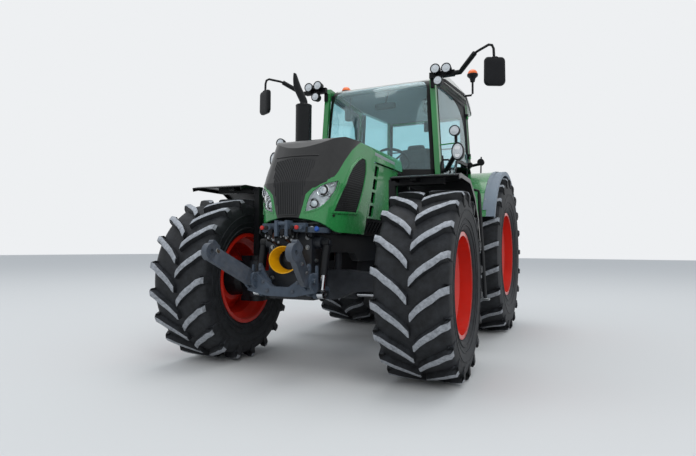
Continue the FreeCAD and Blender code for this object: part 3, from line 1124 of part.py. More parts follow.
def road_lamps():
    """Lamps on arms beside the bonnet's rear; then the rear lamp clusters."""
    parts, tails = [], []
    for s, ((big_x, big_z), (small_x, small_z)) in LAMP_ARMS.items():
        root, out = side_point(-1500, 1800, 4 + GAP), side_point(-1500, 1800, 60)
        arm = tube([(s * root.x, root.y, root.z), (s * out.x, out.y, out.z), (big_x - s * 34, -1700, big_z - 10)], 24, 40)
        big = turned([(0, 0), (0, 72, 12), (60, 66, 10), (95, 34), (95, 0)], 0, 0, 0)
        big = turn(big, (0, 0, 0), (0, 0, 1), 90)
        matrix = FreeCAD.Matrix()
        matrix.scale(0.85, 1, 1.25)
        big = big.transformGeometry(matrix)
        big.translate(V(big_x, -1770, big_z))
        post = rod((big_x - s * 29, -1700, big_z + 25), (small_x, -1700, small_z), 15)
        small = turned([(0, 0), (0, 54, 8), (55, 48, 10), (75, 24), (75, 0)], 0, 0, 0)
        small = turn(small, (0, 0, 0), (0, 0, 1), 90)
        small.translate(V(small_x, -1760, small_z))
        parts.append(fuse(arm, big, post, small))
        low_z = 1500
        start = math.sqrt((FENDER_R + FENDER_T) ** 2 - (low_z - REAR_Z) ** 2) + GAP
        tails.append(box(s * 900 - 140, s * 900 + 140, start, start + 50, low_z, low_z + 110))
    return parts, tails


def parts_list():
    """Every node and its solids, in place at rest."""
    rim_f, tyre_f = front_wheel()
    rim_r, tyre_r = rear_wheel()
    left = {"front_rim_left": rim_f, "front_tyre_left": tyre_f, "knuckle_left": knuckle(),
            "front_fender_left": front_fender()}
    nodes = {}
    for name, shape in left.items():
        nodes[name] = [turn(shape, (KINGPIN_X, FRONT_Y, 0), (0, 0, 1), STEER_REST)]
        nodes[name.replace("left", "right")] = [turn(mirrored(shape), (-KINGPIN_X, FRONT_Y, 0), (0, 0, 1), STEER_REST)]
    for name, shape in {"rear_rim_left": rim_r, "rear_tyre_left": tyre_r}.items():
        nodes[name] = [shape]
        nodes[name.replace("left", "right")] = [mirrored(shape)]
    shift = STEER_ARM * math.sin(math.radians(STEER_REST))
    rods = tie_rods()
    rods.translate(V(-shift, 0, 0))
    nodes["tie_rods"] = [rods]
    nodes["front_axle"] = [front_axle()]
    nodes["front_frame"] = [front_frame()]
    nodes["front_bumper"] = [front_bumper()]
    nodes["pto_guard"] = [pto_guard()]
    nodes["engine"] = engine()
    nodes["transmission"] = [rear_axle_and_gearbox()]
    nodes["bulkhead"] = [bulkhead()]
    nodes["engine_side_panels"] = side_panels()
    green, mask, lamps, grilles = bonnet_pieces()
    nodes["bonnet"], nodes["bonnet_mask"] = [green], [mask]
    nodes["headlights"], nodes["bonnet_grilles"] = [lamps], [grilles]
    nodes["cab_shell"] = cab_shell()
    nodes["cab_pillars"] = pillars()
    nodes["cab_roof"] = [roof()]
    nodes["windscreen"] = [windscreen()]
    nodes["rear_glass"] = rear_glass()
    frame, pane = door()
    nodes["door_frame_left"], nodes["door_glass_left"] = [frame], [pane]
    nodes["door_frame_right"], nodes["door_glass_right"] = [mirrored(frame)], [mirrored(pane)]
    nodes["cab_console"] = cab_inside()
    nodes["seat"] = seat()
    nodes["steering_wheel"] = [steering_wheel()]
    nodes["rear_fenders"] = rear_fenders()
    nodes["fender_flares"] = fender_flares()
    nodes["side_tanks"] = side_tanks()
    nodes["access_steps"] = access_steps()
    nodes["exhaust"] = [exhaust()]
    nodes["work_lights"], nodes["beacons"] = work_lights()
    nodes["mirrors"] = mirrors()
    nodes["road_lamps"], nodes["tail_lamps"] = road_lamps()
    nodes["front_lift_frame"] = [lift_frame()]
    hinge = (0, *LIFT_HINGE)
    nodes["front_link_right"] = [turn(front_link(-1), hinge, (1, 0, 0), -LINK_UP_DEG)]
    nodes["front_link_left"] = [turn(front_link(1), hinge, (1, 0, 0), -LINK_UP_DEG)]
    barrels, pistons = lift_cylinders()
    nodes["front_lift_barrels"], nodes["front_lift_rods"] = barrels, pistons
    nodes["rear_lower_links"] = lower_links()
    nodes["rear_lift_arms"] = [lift_arms()]
    nodes["rear_lift_rods"] = lift_rods()
    nodes["rear_hitch"] = [rear_hitch(), lift_bracket()]
    return nodes


def length_ends():
    """Foremost and rearmost Y: the right front link's eye and the rear hooks."""
    reach = LINK_L * math.cos(math.radians(LINK_UP_DEG)) + LINK_EYE_R
    return LIFT_HINGE[0] - reach, LOWER_PIVOT[0] + LOWER_L + HOOK_R


def main():
    os.makedirs("parts", exist_ok=True)
    front, rear = length_ends()
    to_origin = V(0, -(front + rear) / 2, 0)
    print("rear axle at y = %.2f" % to_origin.y)
    for name, shapes in parts_list().items():
        solids = [s for shape in shapes for s in shape.Solids]
        node = solids[0] if len(solids) == 1 else Part.makeCompound(solids)
        node.translate(to_origin)
        bad = [i for i, s in enumerate(solids) if not s.isValid() or s.Volume <= 0]
        print(name, len(solids), "%.1f litres" % (node.Volume / 1e6), "BAD %s" % bad if bad else "")
        node.exportStep("parts/%s.step" % name)


main()
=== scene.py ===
"""Dresses the farm tractor: a finish for every solid, and treads, lamps, seals and fittings over them."""

import logging
import math
from dataclasses import dataclass, field
from enum import Enum
from itertools import product
from typing import Any, Dict, Iterable, List, Optional, Sequence, Tuple

import bpy
from mathutils import Matrix, Vector
from mathutils.bvhtree import BVHTree


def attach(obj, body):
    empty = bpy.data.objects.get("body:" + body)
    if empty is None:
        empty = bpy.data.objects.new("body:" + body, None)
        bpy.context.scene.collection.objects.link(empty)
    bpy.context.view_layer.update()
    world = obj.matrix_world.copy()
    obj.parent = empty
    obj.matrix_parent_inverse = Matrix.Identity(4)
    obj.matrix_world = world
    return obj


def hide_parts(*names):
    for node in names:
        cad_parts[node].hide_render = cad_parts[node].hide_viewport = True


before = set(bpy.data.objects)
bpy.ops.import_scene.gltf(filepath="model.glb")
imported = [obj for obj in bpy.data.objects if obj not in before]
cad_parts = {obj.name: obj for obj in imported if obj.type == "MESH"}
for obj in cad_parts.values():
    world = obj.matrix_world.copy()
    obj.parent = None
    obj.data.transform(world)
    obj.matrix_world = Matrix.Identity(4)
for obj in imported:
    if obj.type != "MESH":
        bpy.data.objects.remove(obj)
LOG = logging.getLogger("tractor")

Point = Sequence[float]
Pair = Tuple[float, float]
Hit = Tuple[Vector, Vector]

# Lengths are in metres.  Places in tables and in calls of at and stand are counted from the rear axle.
MM = 0.001
REAR_AXLE_Y = 1.27567
FRONT_AXLE_Y = REAR_AXLE_Y - 2.783
FRONT_TYRE_R = 0.722
REAR_TYRE_R = 0.942
FRONT_TRACK = 1.960
REAR_TRACK = 1.700
KINGPIN_X = 0.650
STEER_REST = math.radians(2.2)

# Radius at which a turned form closes on its axis
TIP = 0.0005

SIGNS = (-1, 1)
AHEAD = (0, -1, 0)
BACK = (0, 1, 0)
UP = (0, 0, 1)


class Side(Enum):
    """Side of the machine, as seen by its driver."""

    LEFT = 1
    RIGHT = -1

    @property
    def word(self) -> str:
        """Ending of the names of this side's solids."""
        return self.name.lower()


def linear(hex_colour: str) -> Tuple[float, float, float, float]:
    """Linear colour of an sRGB hex value.

    Args:
        hex_colour: Six hex digits, with or without a leading hash.

    Returns:
        Red, green and blue in linear light, and an alpha of 1.
    """
    digits = hex_colour.lstrip("#")
    values = [int(digits[i:i + 2], 16) / 255 for i in (0, 2, 4)]
    out = [v / 12.92 if v <= 0.04045 else ((v + 0.055) / 1.055) ** 2.4 for v in values]
    return (out[0], out[1], out[2], 1.0)


def add(tree: bpy.types.NodeTree, kind: str, settings: Optional[Dict[Any, Any]] = None,
        links: Optional[Dict[Any, Any]] = None) -> bpy.types.Node:
    """Adds one node.

    Args:
        tree: The node tree.
        kind: Blender's name of the node's type.
        settings: Values of sockets, by name or number, and of the node's own properties.
        links: Sockets of other nodes that feed this node's sockets.

    Returns:
        The node.
    """
    node = tree.nodes.new(kind)
    for key, value in (settings or {}).items():
        if isinstance(key, int) or key in node.inputs:
            node.inputs[key].default_value = value
        else:
            setattr(node, key, value)
    for key, source in (links or {}).items():
        tree.links.new(source, node.inputs[key])
    return node


@dataclass(frozen=True)
class Finish:
    """Surface of one kind: a base colour, its soiling, its gloss and its grain.

    grain_mm is the size of one grain of the surface, grain_depth_mm its height, edge_mm the radius to which
    its edges are broken.  Dust lies thickest low down and on faces that look up, and fades out at dust_top
    metres above the ground.
    """

    name: str
    colour: str
    roughness: float = 0.5
    metallic: float = 0.0
    ior: float = 1.5
    coat: float = 0.0
    coat_roughness: float = 0.05
    grain_mm: float = 0.0
    grain_depth_mm: float = 0.0
    edge_mm: float = 2.0
    mottle: float = 0.06
    mottle_mm: float = 220.0
    dust: str = "8f8b85"
    dust_low: float = 0.0
    dust_high: float = 0.0
    dust_top: float = 1.6
    dust_mm: float = 60.0
    transmission: float = 0.0

    def build(self) -> bpy.types.Material:
        """Makes the material, or finds it where it was made before."""
        found = bpy.data.materials.get(self.name)
        if found:
            return found
        material = bpy.data.materials.new(self.name)
        material.use_nodes = True
        tree = material.node_tree
        tree.nodes.clear()
        where = add(tree, "ShaderNodeTexCoord").outputs["Object"]
        shader = add(tree, "ShaderNodeBsdfPrincipled", {
            "Base Color": linear(self.colour), "Metallic": self.metallic, "IOR": self.ior,
            "Coat Weight": self.coat, "Coat Roughness": self.coat_roughness,
            "Transmission Weight": self.transmission, "Roughness": self.roughness})
        if self.transmission == 0:
            colour = self._mottled(tree, where)
            self._dusted(tree, where, colour, shader)
        normal = None
        if self.edge_mm:
            normal = add(tree, "ShaderNodeBevel", {"samples": 3, "Radius": self.edge_mm * MM}).outputs[0]
            tree.links.new(normal, shader.inputs["Normal"])
        if self.grain_mm:
            noise = add(tree, "ShaderNodeTexNoise", {"Scale": 1 / (self.grain_mm * MM), "Detail": 3.0},
                        {"Vector": where})
            bump = add(tree, "ShaderNodeBump", {"Strength": 0.6, "Distance": self.grain_depth_mm * MM},
                       {"Height": noise.outputs["Fac"]})
            if normal:
                tree.links.new(normal, bump.inputs["Normal"])
            tree.links.new(bump.outputs["Normal"], shader.inputs["Normal"])
        add(tree, "ShaderNodeOutputMaterial", None, {"Surface": shader.outputs[0]})
        return material

    def _mottled(self, tree: bpy.types.NodeTree, where: bpy.types.NodeSocket) -> bpy.types.NodeSocket:
        """Base colour with a slow drift in lightness, as weather and handling leave it."""
        noise = add(tree, "ShaderNodeTexNoise", {"Scale": 1 / (self.mottle_mm * MM), "Detail": 4.0},
                    {"Vector": where})
        level = add(tree, "ShaderNodeMapRange", {"From Min": 0.3, "From Max": 0.7, "To Min": 1 - self.mottle,
                                                 "To Max": 1 + self.mottle}, {"Value": noise.outputs["Fac"]})
        drift = add(tree, "ShaderNodeHueSaturation", {"Color": linear(self.colour)},
                    {"Value": level.outputs[0]})
        return drift.outputs[0]

    def _dusted(self, tree: bpy.types.NodeTree, where: bpy.types.NodeSocket,
                colour: bpy.types.NodeSocket, shader: bpy.types.Node) -> None:
        """Lays dust over the colour: more low down and on faces that look up, in a patchy pattern."""
        if self.dust_low == 0 and self.dust_high == 0:
            tree.links.new(colour, shader.inputs["Base Color"])
            return
        height = add(tree, "ShaderNodeSeparateXYZ", None, {"Vector": where}).outputs["Z"]
        share = add(tree, "ShaderNodeMapRange", {"From Max": self.dust_top, "To Min": self.dust_low,
                                                 "To Max": self.dust_high}, {"Value": height})
        facing = add(tree, "ShaderNodeSeparateXYZ", None,
                     {"Vector": add(tree, "ShaderNodeNewGeometry").outputs["Normal"]}).outputs["Z"]
        rest = add(tree, "ShaderNodeMapRange", {"From Min": 0.2, "To Min": 0.8, "To Max": 1.7},
                   {"Value": facing})
        patches = add(tree, "ShaderNodeTexNoise", {"Scale": 1 / (self.dust_mm * MM), "Detail": 6.0,
                                                   "Roughness": 0.65}, {"Vector": where})
        spread = add(tree, "ShaderNodeMapRange", {"From Min": 0.35, "From Max": 0.7, "To Min": 0.25,
                                                  "To Max": 1.5}, {"Value": patches.outputs["Fac"]})
        lying = add(tree, "ShaderNodeMath", {"operation": "MULTIPLY"},
                    {0: share.outputs[0], 1: rest.outputs[0]})
        amount = add(tree, "ShaderNodeMath", {"operation": "MULTIPLY", "use_clamp": True},
                     {0: lying.outputs[0], 1: spread.outputs[0]}).outputs[0]
        dusted = add(tree, "ShaderNodeMix", {"data_type": "RGBA", 7: linear(self.dust)},
                     {0: amount, 6: colour})
        rough = add(tree, "ShaderNodeMapRange", {"To Min": self.roughness, "To Max": 0.85},
                    {"Value": amount})
        tree.links.new(dusted.outputs[2], shader.inputs["Base Color"])
        tree.links.new(rough.outputs[0], shader.inputs["Roughness"])


# Sprayed two-pack enamel on sheet steel and moulded panels: a clear, wet gloss over a flat colour
GREEN_ENAMEL = Finish("green sprayed enamel", "#278342", 0.26, coat=0.5, edge_mm=3.0, mottle=0.06,
                      dust="7f8a80", dust_low=0.08, dust_high=0.01, dust_top=1.9)
# The same enamel on pressed steel wheels, with road dust in the dish
RED_ENAMEL = Finish("red sprayed enamel", "#c81e0c", 0.32, coat=0.4, edge_mm=3.0, mottle=0.08, dust="7a5c50",
                    dust_low=0.07, dust_high=0.02, dust_top=1.5, dust_mm=45)
# Dark grey pearl enamel: the nose and the top of the bonnet mirror the sky softly
DARK_ENAMEL = Finish("dark grey sprayed enamel", "#0d0e10", 0.34, ior=1.42, coat=0.25, coat_roughness=0.12,
                     edge_mm=4.0, mottle=0.08, dust_low=0.04, dust_high=0.015)
# Sand-cast iron under blue-grey paint: the skin of the mould shows as a fine, even roughness
GREY_CASTING = Finish("painted sand cast iron", "#3f4a57", 0.5, ior=1.4, grain_mm=4.0, grain_depth_mm=0.5,
                      edge_mm=4.0, mottle=0.2, mottle_mm=70, dust="5f6268", dust_low=0.25, dust_high=0.08,
                      dust_top=1.3)
# The same casting on the axle, grey with road film
AXLE_CASTING = Finish("dusty sand cast iron", "#25282d", 0.5, ior=1.4, grain_mm=5.0, grain_depth_mm=0.6,
                      edge_mm=5.0, mottle=0.3, mottle_mm=80, dust="5a5d62", dust_low=0.2, dust_high=0.1,
                      dust_top=1.3)
# The same casting on the frame rails, blackened by oil and road film
OILY_CASTING = Finish("oiled sand cast iron", "#15181d", 0.4, ior=1.42, grain_mm=5.0, grain_depth_mm=0.6,
                      edge_mm=5.0, mottle=0.35, mottle_mm=90, dust="4c5057", dust_low=0.2, dust_high=0.1,
                      dust_top=1.3)
# Gloss black polyurethane of the front fenders, flexible and smooth
FENDER_SKIN = Finish("black gloss polyurethane", "#040506", 0.3, ior=1.4, edge_mm=5.0, mottle=0.1,
                     dust="4c4f53", dust_low=0.05, dust_high=0.03, dust_top=1.9)
# Flame-cut and welded steel under satin black paint, with mud film low down
BLACK_STEEL = Finish("satin black painted steel", "#080a0d", 0.42, ior=1.34, grain_mm=6.0,
                     grain_depth_mm=0.2, mottle=0.15, dust="55575b", dust_low=0.14, dust_high=0.03,
                     dust_top=1.3)
# Injection-moulded polypropylene with an eroded grain: dull, slightly grey black
BLACK_MOULDING = Finish("black grained polypropylene", "#07090d", 0.48, ior=1.32, grain_mm=1.6,
                        grain_depth_mm=0.12, edge_mm=3.0, mottle=0.12, dust="55575b", dust_low=0.1,
                        dust_high=0.03, dust_top=1.7)
# Rotation-moulded polyethylene in grey for the flares of the rear fenders
GREY_MOULDING = Finish("grey moulded polyethylene", "#75828f", 0.5, grain_mm=2.0, grain_depth_mm=0.1,
                       edge_mm=4.0, dust_low=0.06, dust_high=0.04, dust_top=1.9)
# Cream gel-coated roof skin
CREAM_SKIN = Finish("cream gel coat", "#e4e4de", 0.38, coat=0.3, edge_mm=5.0, mottle=0.035, dust_low=0.06,
                    dust_high=0.04, dust_top=3.0)
# Carbon-black tyre rubber, dulled by dry soil
TYRE_RUBBER = Finish("tyre rubber", "#0e0f11", 0.62, ior=1.4, grain_mm=9.0, grain_depth_mm=0.6, edge_mm=3.0,
                     mottle=0.3, mottle_mm=70, dust="565a60", dust_low=0.22, dust_high=0.09, dust_top=1.9,
                     dust_mm=55)
# Lug faces scoured pale by gravel, with dark rubber left in the nicks
WORN_LUG = Finish("scoured lug rubber", "#7b7e83", 0.85, grain_mm=7.0, grain_depth_mm=0.9, edge_mm=4.0,
                  mottle=0.5, mottle_mm=28, dust="b4b8bd", dust_low=0.5, dust_high=0.42, dust_top=2.0,
                  dust_mm=20)
# Yellow polyethylene guard cup
YELLOW_MOULDING = Finish("yellow moulded polyethylene", "#e0a200", 0.38, mottle=0.08, mottle_mm=60,
                         dust="6b5a30", dust_low=0.12, dust_high=0.05)
# Orange acrylic dome over a lamp
ORANGE_ACRYLIC = Finish("orange acrylic", "#ef6a17", 0.12, ior=1.49, coat=0.5, mottle=0.02)
# Red acrylic lamp cover
RED_ACRYLIC = Finish("red acrylic", "#a8160f", 0.14, ior=1.49, coat=0.4, mottle=0.02)
# Clear polycarbonate over the lamps
CLEAR_COVER = Finish("clear polycarbonate", "#f4f7f8", 0.02, ior=1.25, edge_mm=0.0, transmission=1.0)
# Blue-green heat-absorbing cab glass under a film of dust, which keeps a little of the daylight on it
CAB_GLASS = Finish("tinted safety glass", "#cdeff4", 0.02, ior=1.45, edge_mm=0.0, transmission=0.94)
# Vacuum-metallised reflector behind a lamp cover
REFLECTOR = Finish("metallised reflector", "#d9dcdf", 0.12, metallic=1.0, mottle=0.03)
# White-silver housing that the bowls are set into
LAMP_HOUSING = Finish("silver lacquered polycarbonate", "#ccd1d5", 0.32, metallic=0.25, mottle=0.03,
                      mottle_mm=40)
# Bright faceted glass in the middle of a lamp
LENS_GLASS = Finish("pressed lamp glass", "#dfe5ea", 0.08, coat=0.6, grain_mm=5.0, grain_depth_mm=0.6,
                    mottle=0.12, mottle_mm=7)
# Smoked bezel between the bowls
DARK_BEZEL = Finish("smoked bezel", "#17191c", 0.15, coat=0.4, mottle=0.04)
# Zinc plated steel pipe gone brown with rust
RUSTY_PIPE = Finish("rusted steel pipe", "#4a2a1c", 0.6, metallic=0.3, mottle=0.4, mottle_mm=25)
# Silvered mirror glass
MIRROR_GLASS = Finish("silvered mirror glass", "#dfe4e8", 0.02, metallic=1.0, mottle=0.0)
# Ground and chromed piston rod
PISTON_CHROME = Finish("hard chromed steel", "#c9ccd0", 0.16, metallic=1.0, mottle=0.03)
# Zinc-plated bolts, gone dull
ZINC = Finish("zinc plated steel", "#8f9294", 0.4, metallic=1.0, edge_mm=1.0, mottle=0.15, mottle_mm=12)
# Cast and painted link arms, their edges rubbed
FORGED_STEEL = Finish("worn painted forging", "#3f4854", 0.45, metallic=0.2, grain_mm=5.0,
                      grain_depth_mm=0.3, edge_mm=3.0, mottle=0.2, mottle_mm=40, dust_low=0.16, dust_high=0.08)
# Woven seat cloth: threads of 2.5 mm, drawn coarser than the real ones so that they show
SEAT_CLOTH = Finish("woven seat cloth", "#1d1f22", 0.9, grain_mm=2.5, grain_depth_mm=0.5, mottle=0.12,
                    mottle_mm=20)
# Pale grey needled felt under the roof
ROOF_LINING = Finish("needled roof felt", "#8a9096", 0.95, grain_mm=3.0, grain_depth_mm=0.4, mottle=0.06)
# Soft rubber of seals, hoses and mats
SEAL_RUBBER = Finish("seal rubber", "#08090a", 0.55, ior=1.4, mottle=0.08, mottle_mm=30)
# Blue moulded tank cap
BLUE_MOULDING = Finish("blue moulded polyethylene", "#1f4f9c", 0.45, mottle=0.04)
# White moulded bottle cap
WHITE_MOULDING = Finish("white moulded polyethylene", "#d5d7d8", 0.45, mottle=0.04)
# Red moulded dust caps of the couplings
RED_MOULDING = Finish("red moulded polyethylene", "#b3201b", 0.45, mottle=0.04)
# Matt black paint inside grilles; also the black plates behind the side panels' slots, which are painted shade
# for the dark inside of the bay
GRILLE_BLACK_AND_SHADE = Finish("matt black mesh", "#08090a", 0.75, mottle=0.05)
# Satin black wires and ribs of the air intake
MASK_MESH = Finish("satin black moulded ribs", "#131518", 0.42, ior=1.45, edge_mm=1.0, mottle=0.08)
# Pale matt screed of the studio's floor
STUDIO_FLOOR = Finish("pale studio floor", "#cfcfcd", 0.9, edge_mm=0.0, mottle=0.0)
# Smooth foil on the places of badge and plate, left bare
BADGE_FOIL = Finish("satin grey foil", "#7f868b", 0.35, coat=0.3, edge_mm=0.0, mottle=0.03)

NODES_BY_FINISH: Dict[Finish, str] = {
    AXLE_CASTING: "front_axle",
    OILY_CASTING: "front_frame engine transmission",
    GREY_CASTING: "front_bumper front_lift_frame rear_lift_arms rear_hitch",
    YELLOW_MOULDING: "pto_guard",
    BLACK_MOULDING: "bulkhead cab_shell cab_console side_tanks work_lights mirrors road_lamps",
    GREEN_ENAMEL: "engine_side_panels bonnet cab_pillars rear_fenders",
    DARK_ENAMEL: "bonnet_mask",
    CLEAR_COVER: "headlights",
    GRILLE_BLACK_AND_SHADE: "bonnet_grilles",
    CREAM_SKIN: "cab_roof",
    CAB_GLASS: "windscreen rear_glass door_glass_left door_glass_right",
    BLACK_STEEL: (
        "door_frame_left door_frame_right access_steps exhaust front_lift_barrels rear_lift_rods "
        "knuckle_left knuckle_right"),
    SEAT_CLOTH: "seat",
    SEAL_RUBBER: "steering_wheel",
    GREY_MOULDING: "fender_flares",
    ORANGE_ACRYLIC: "beacons",
    RED_ACRYLIC: "tail_lamps",
    FORGED_STEEL: "front_link_right front_link_left rear_lower_links",
    PISTON_CHROME: "front_lift_rods tie_rods",
    RED_ENAMEL: "front_rim_left front_rim_right rear_rim_left rear_rim_right",
    TYRE_RUBBER: "front_tyre_left front_tyre_right rear_tyre_left rear_tyre_right",
    FENDER_SKIN: "front_fender_left front_fender_right",
}
NODE_FINISH: Dict[str, Finish] = {
    node: finish for finish, nodes in NODES_BY_FINISH.items() for node in nodes.split()}


class Piece:
    """Mesh under construction: corners, faces and the finish of each face."""

    def __init__(self, name: str) -> None:
        """Starts an empty mesh of that name."""
        self.name = name
        self.corners: List[Point] = []
        self.faces: List[Tuple[int, ...]] = []
        self.marks: List[int] = []
        self.finishes: List[Finish] = []

    def mark(self, finish: Finish) -> int:
        """Number of a finish in this piece's list."""
        if finish not in self.finishes:
            self.finishes.append(finish)
        return self.finishes.index(finish)

    def grid(self, rows: Sequence[Sequence[Point]], finish: Finish, closed: bool = False,
             capped: bool = False) -> None:
        """Skins rows of points.

        Args:
            rows: Rows of equally many points.
            finish: Finish of the skin.
            closed: Whether each row runs round and meets itself.
            capped: Whether the first and the last row are filled.
        """
        start = len(self.corners)
        width = len(rows[0])
        for row in rows:
            self.corners.extend(tuple(p) for p in row)
        mark = self.mark(finish)
        last = width if closed else width - 1
        for i in range(len(rows) - 1):
            for j in range(last):
                k = (j + 1) % width
                a, b = start + i * width, start + (i + 1) * width
                self.faces.append((a + j, a + k, b + k, b + j))
                self.marks.append(mark)
        if capped:
            end = start + (len(rows) - 1) * width
            self.faces.append(tuple(range(start + width - 1, start - 1, -1)))
            self.faces.append(tuple(range(end, end + width)))
            self.marks.extend((mark, mark))

    def turned(self, profile: Sequence[Pair], place: Matrix, finish: Finish, segments: int = 32) -> None:
        """Turns a profile about the local Z axis.

        Args:
            profile: Pairs of radius and height.
            place: Where the local axes stand.
            finish: Finish of the surface.
            segments: How many facets run round.
        """
        rows = [[place @ Vector((r * math.cos(a), r * math.sin(a), height)) for a in angles(segments)]
                for r, height in profile]
        self.grid(rows, finish, closed=True, capped=True)

    def block(self, size: Point, place: Matrix, finish: Finish, edge: float = 0.0) -> None:
        """Box about the local origin, its upright edges and rims chamfered by edge."""
        x, y, z = (s / 2 for s in size)
        e = min(edge, x * 0.9, y * 0.9, z * 0.9)
        rows = []
        for height, inset in ((-z, e), (-z + e, 0.0), (z - e, 0.0), (z, e)):
            a, b = x - inset, y - inset
            c = max(e - inset * 0.5, 1e-5)
            ring = [(a - c, -b), (a, -b + c), (a, b - c), (a - c, b), (-a + c, b), (-a, b - c), (-a, -b + c),
                    (-a + c, -b)]
            rows.append([place @ Vector((p, q, height)) for p, q in ring])
        self.grid(rows, finish, closed=True, capped=True)

    def plate(self, outline: Sequence[Pair], low: float, high: float, place: Matrix, finish: Finish) -> None:
        """Flat plate: an outline in the local X and Y, drawn out from low to high along local Z."""
        rows = [[place @ Vector((u, v, level)) for u, v in outline] for level in (low, high)]
        self.grid(rows, finish, closed=True, capped=True)

    def tube(self, path: Sequence[Point], radius: float, finish: Finish, segments: int = 10) -> None:
        """Round bar along a line of points."""
        rows = []
        points = [Vector(p) for p in path]
        side = Vector((0.0, 0.0, 1.0))
        for i, point in enumerate(points):
            along = (points[min(i + 1, len(points) - 1)] - points[max(i - 1, 0)]).normalized()
            if abs(along.dot(side)) > 0.95:
                side = Vector((1.0, 0.0, 0.0)) if abs(along.x) < 0.9 else Vector((0.0, 1.0, 0.0))
            aside = along.cross(side).normalized()
            side = aside.cross(along).normalized()
            rows.append([point + radius * (math.cos(a) * aside + math.sin(a) * side)
                         for a in angles(segments)])
        self.grid(rows, finish, closed=True, capped=True)

    def finish(self, body: str, slot: str, replaces: Iterable[str] = (), smooth: float = 35.0
               ) -> bpy.types.Object:
        """Makes the object and tells the frame what it rides on.

        Args:
            body: The CAD body that it moves with.
            slot: Name of a material slot of the record; not used.
            replaces: CAD nodes that it stands for.
            smooth: Largest angle in degrees between two facets that are shaded as one surface.

        Returns:
            The object.
        """
        mesh = bpy.data.meshes.new(self.name)
        mesh.from_pydata(self.corners, [], self.faces)
        for finish in self.finishes:
            mesh.materials.append(finish.build())
        mesh.polygons.foreach_set("material_index", self.marks)
        mesh.polygons.foreach_set("use_smooth", [True] * len(mesh.polygons))
        mesh.update()
        mesh.validate()
        item = bpy.data.objects.new(self.name, mesh)
        bpy.context.scene.collection.objects.link(item)
        sharpen(item, smooth)
        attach(item, body)
        names = list(replaces)
        if names:
            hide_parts(*names)
        LOG.info("%s: %d faces on %s", self.name, len(mesh.polygons), body)
        return item


def sharpen(item: bpy.types.Object, degrees: float) -> None:
    """Marks the edges that are sharper than the angle, so that smooth shading stops there."""
    mesh = item.data
    limit = math.radians(degrees)
    normals = [p.normal.copy() for p in mesh.polygons]
    sides: Dict[Tuple[int, int], List[int]] = {}
    for polygon in mesh.polygons:
        for key in polygon.edge_keys:
            sides.setdefault(key, []).append(polygon.index)
    sharp = []
    for edge in mesh.edges:
        pair = sides.get(tuple(sorted(edge.vertices)), [])
        sharp.append(len(pair) != 2 or normals[pair[0]].angle(normals[pair[1]], 0.0) > limit)
    attribute = mesh.attributes.get("sharp_edge") or mesh.attributes.new("sharp_edge", "BOOLEAN", "EDGE")
    attribute.data.foreach_set("value", sharp)


def angles(count: int) -> List[float]:
    """Angles of that many even steps round a circle."""
    return [2 * math.pi * k / count for k in range(count)]


def aimed(origin: Point, direction: Point) -> Matrix:
    """Placement whose local Z axis points along direction."""
    turn = Vector(direction).normalized().to_track_quat("Z", "Y")
    return Matrix.Translation(Vector(origin)) @ turn.to_matrix().to_4x4()


def at(x: float, y: float, z: float) -> Point:
    """Place given from the rear axle, in the frame's own Y."""
    return (x, y + REAR_AXLE_Y, z)


def stand(x: float, y: float, z: float) -> Matrix:
    """Placement with upright axes at a place given from the rear axle."""
    return Matrix.Translation(Vector(at(x, y, z)))


def shift(*step: float) -> Matrix:
    """Placement moved by x, y and z along the local axes."""
    return Matrix.Translation(Vector(step))


def rotated(axis: str, degrees: float) -> Matrix:
    """Placement turned about one local axis."""
    return Matrix.Rotation(math.radians(degrees), 4, axis)


def axis_frame(axis: str) -> Matrix:
    """Placement whose local Z runs along a main axis, and whose local X and Y are the two others.

    Args:
        axis: "x" for an outline drawn in (Y, Z), or "z" for one in (X, Y).
    """
    return Matrix(((0, 0, 1), (1, 0, 0), (0, 1, 0))).to_4x4() if axis == "x" else Matrix.Identity(4)


class Skin:
    """Surface of some CAD solids, so that trim can be laid on it where it really is."""

    def __init__(self, *nodes: str) -> None:
        """Gathers the solids' facets."""
        corners: List[Vector] = []
        faces: List[Tuple[int, ...]] = []
        for name in nodes:
            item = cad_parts[name]
            start = len(corners)
            corners.extend(item.matrix_world @ v.co for v in item.data.vertices)
            faces.extend(tuple(start + i for i in p.vertices) for p in item.data.polygons)
        self.tree = BVHTree.FromPolygons(corners, faces)

    def touch(self, origin: Point, direction: Point) -> Optional[Hit]:
        """Place and outward normal where a ray first meets the surface."""
        heading = Vector(direction).normalized()
        place, normal, _index, _distance = self.tree.ray_cast(Vector(origin), heading)
        if place is None:
            return None
        return place, (normal if normal.dot(heading) < 0 else -normal)

    def trace(self, starts: Sequence[Point], direction: Point, step: float = 0.015) -> List[Hit]:
        """Follows a line of ray origins over the surface.

        Args:
            starts: Corners of the line from which the rays set out.
            direction: Heading of every ray.
            step: Distance between two rays in metres.

        Returns:
            Places on the surface with their normals.
        """
        origins = []
        for a, b in zip(map(Vector, starts), map(Vector, starts[1:])):
            count = max(1, int((b - a).length / step))
            origins += [a.lerp(b, i / count) for i in range(count)]
        hits = (self.touch(origin, direction) for origin in origins + [starts[-1]])
        return [hit for hit in hits if hit]


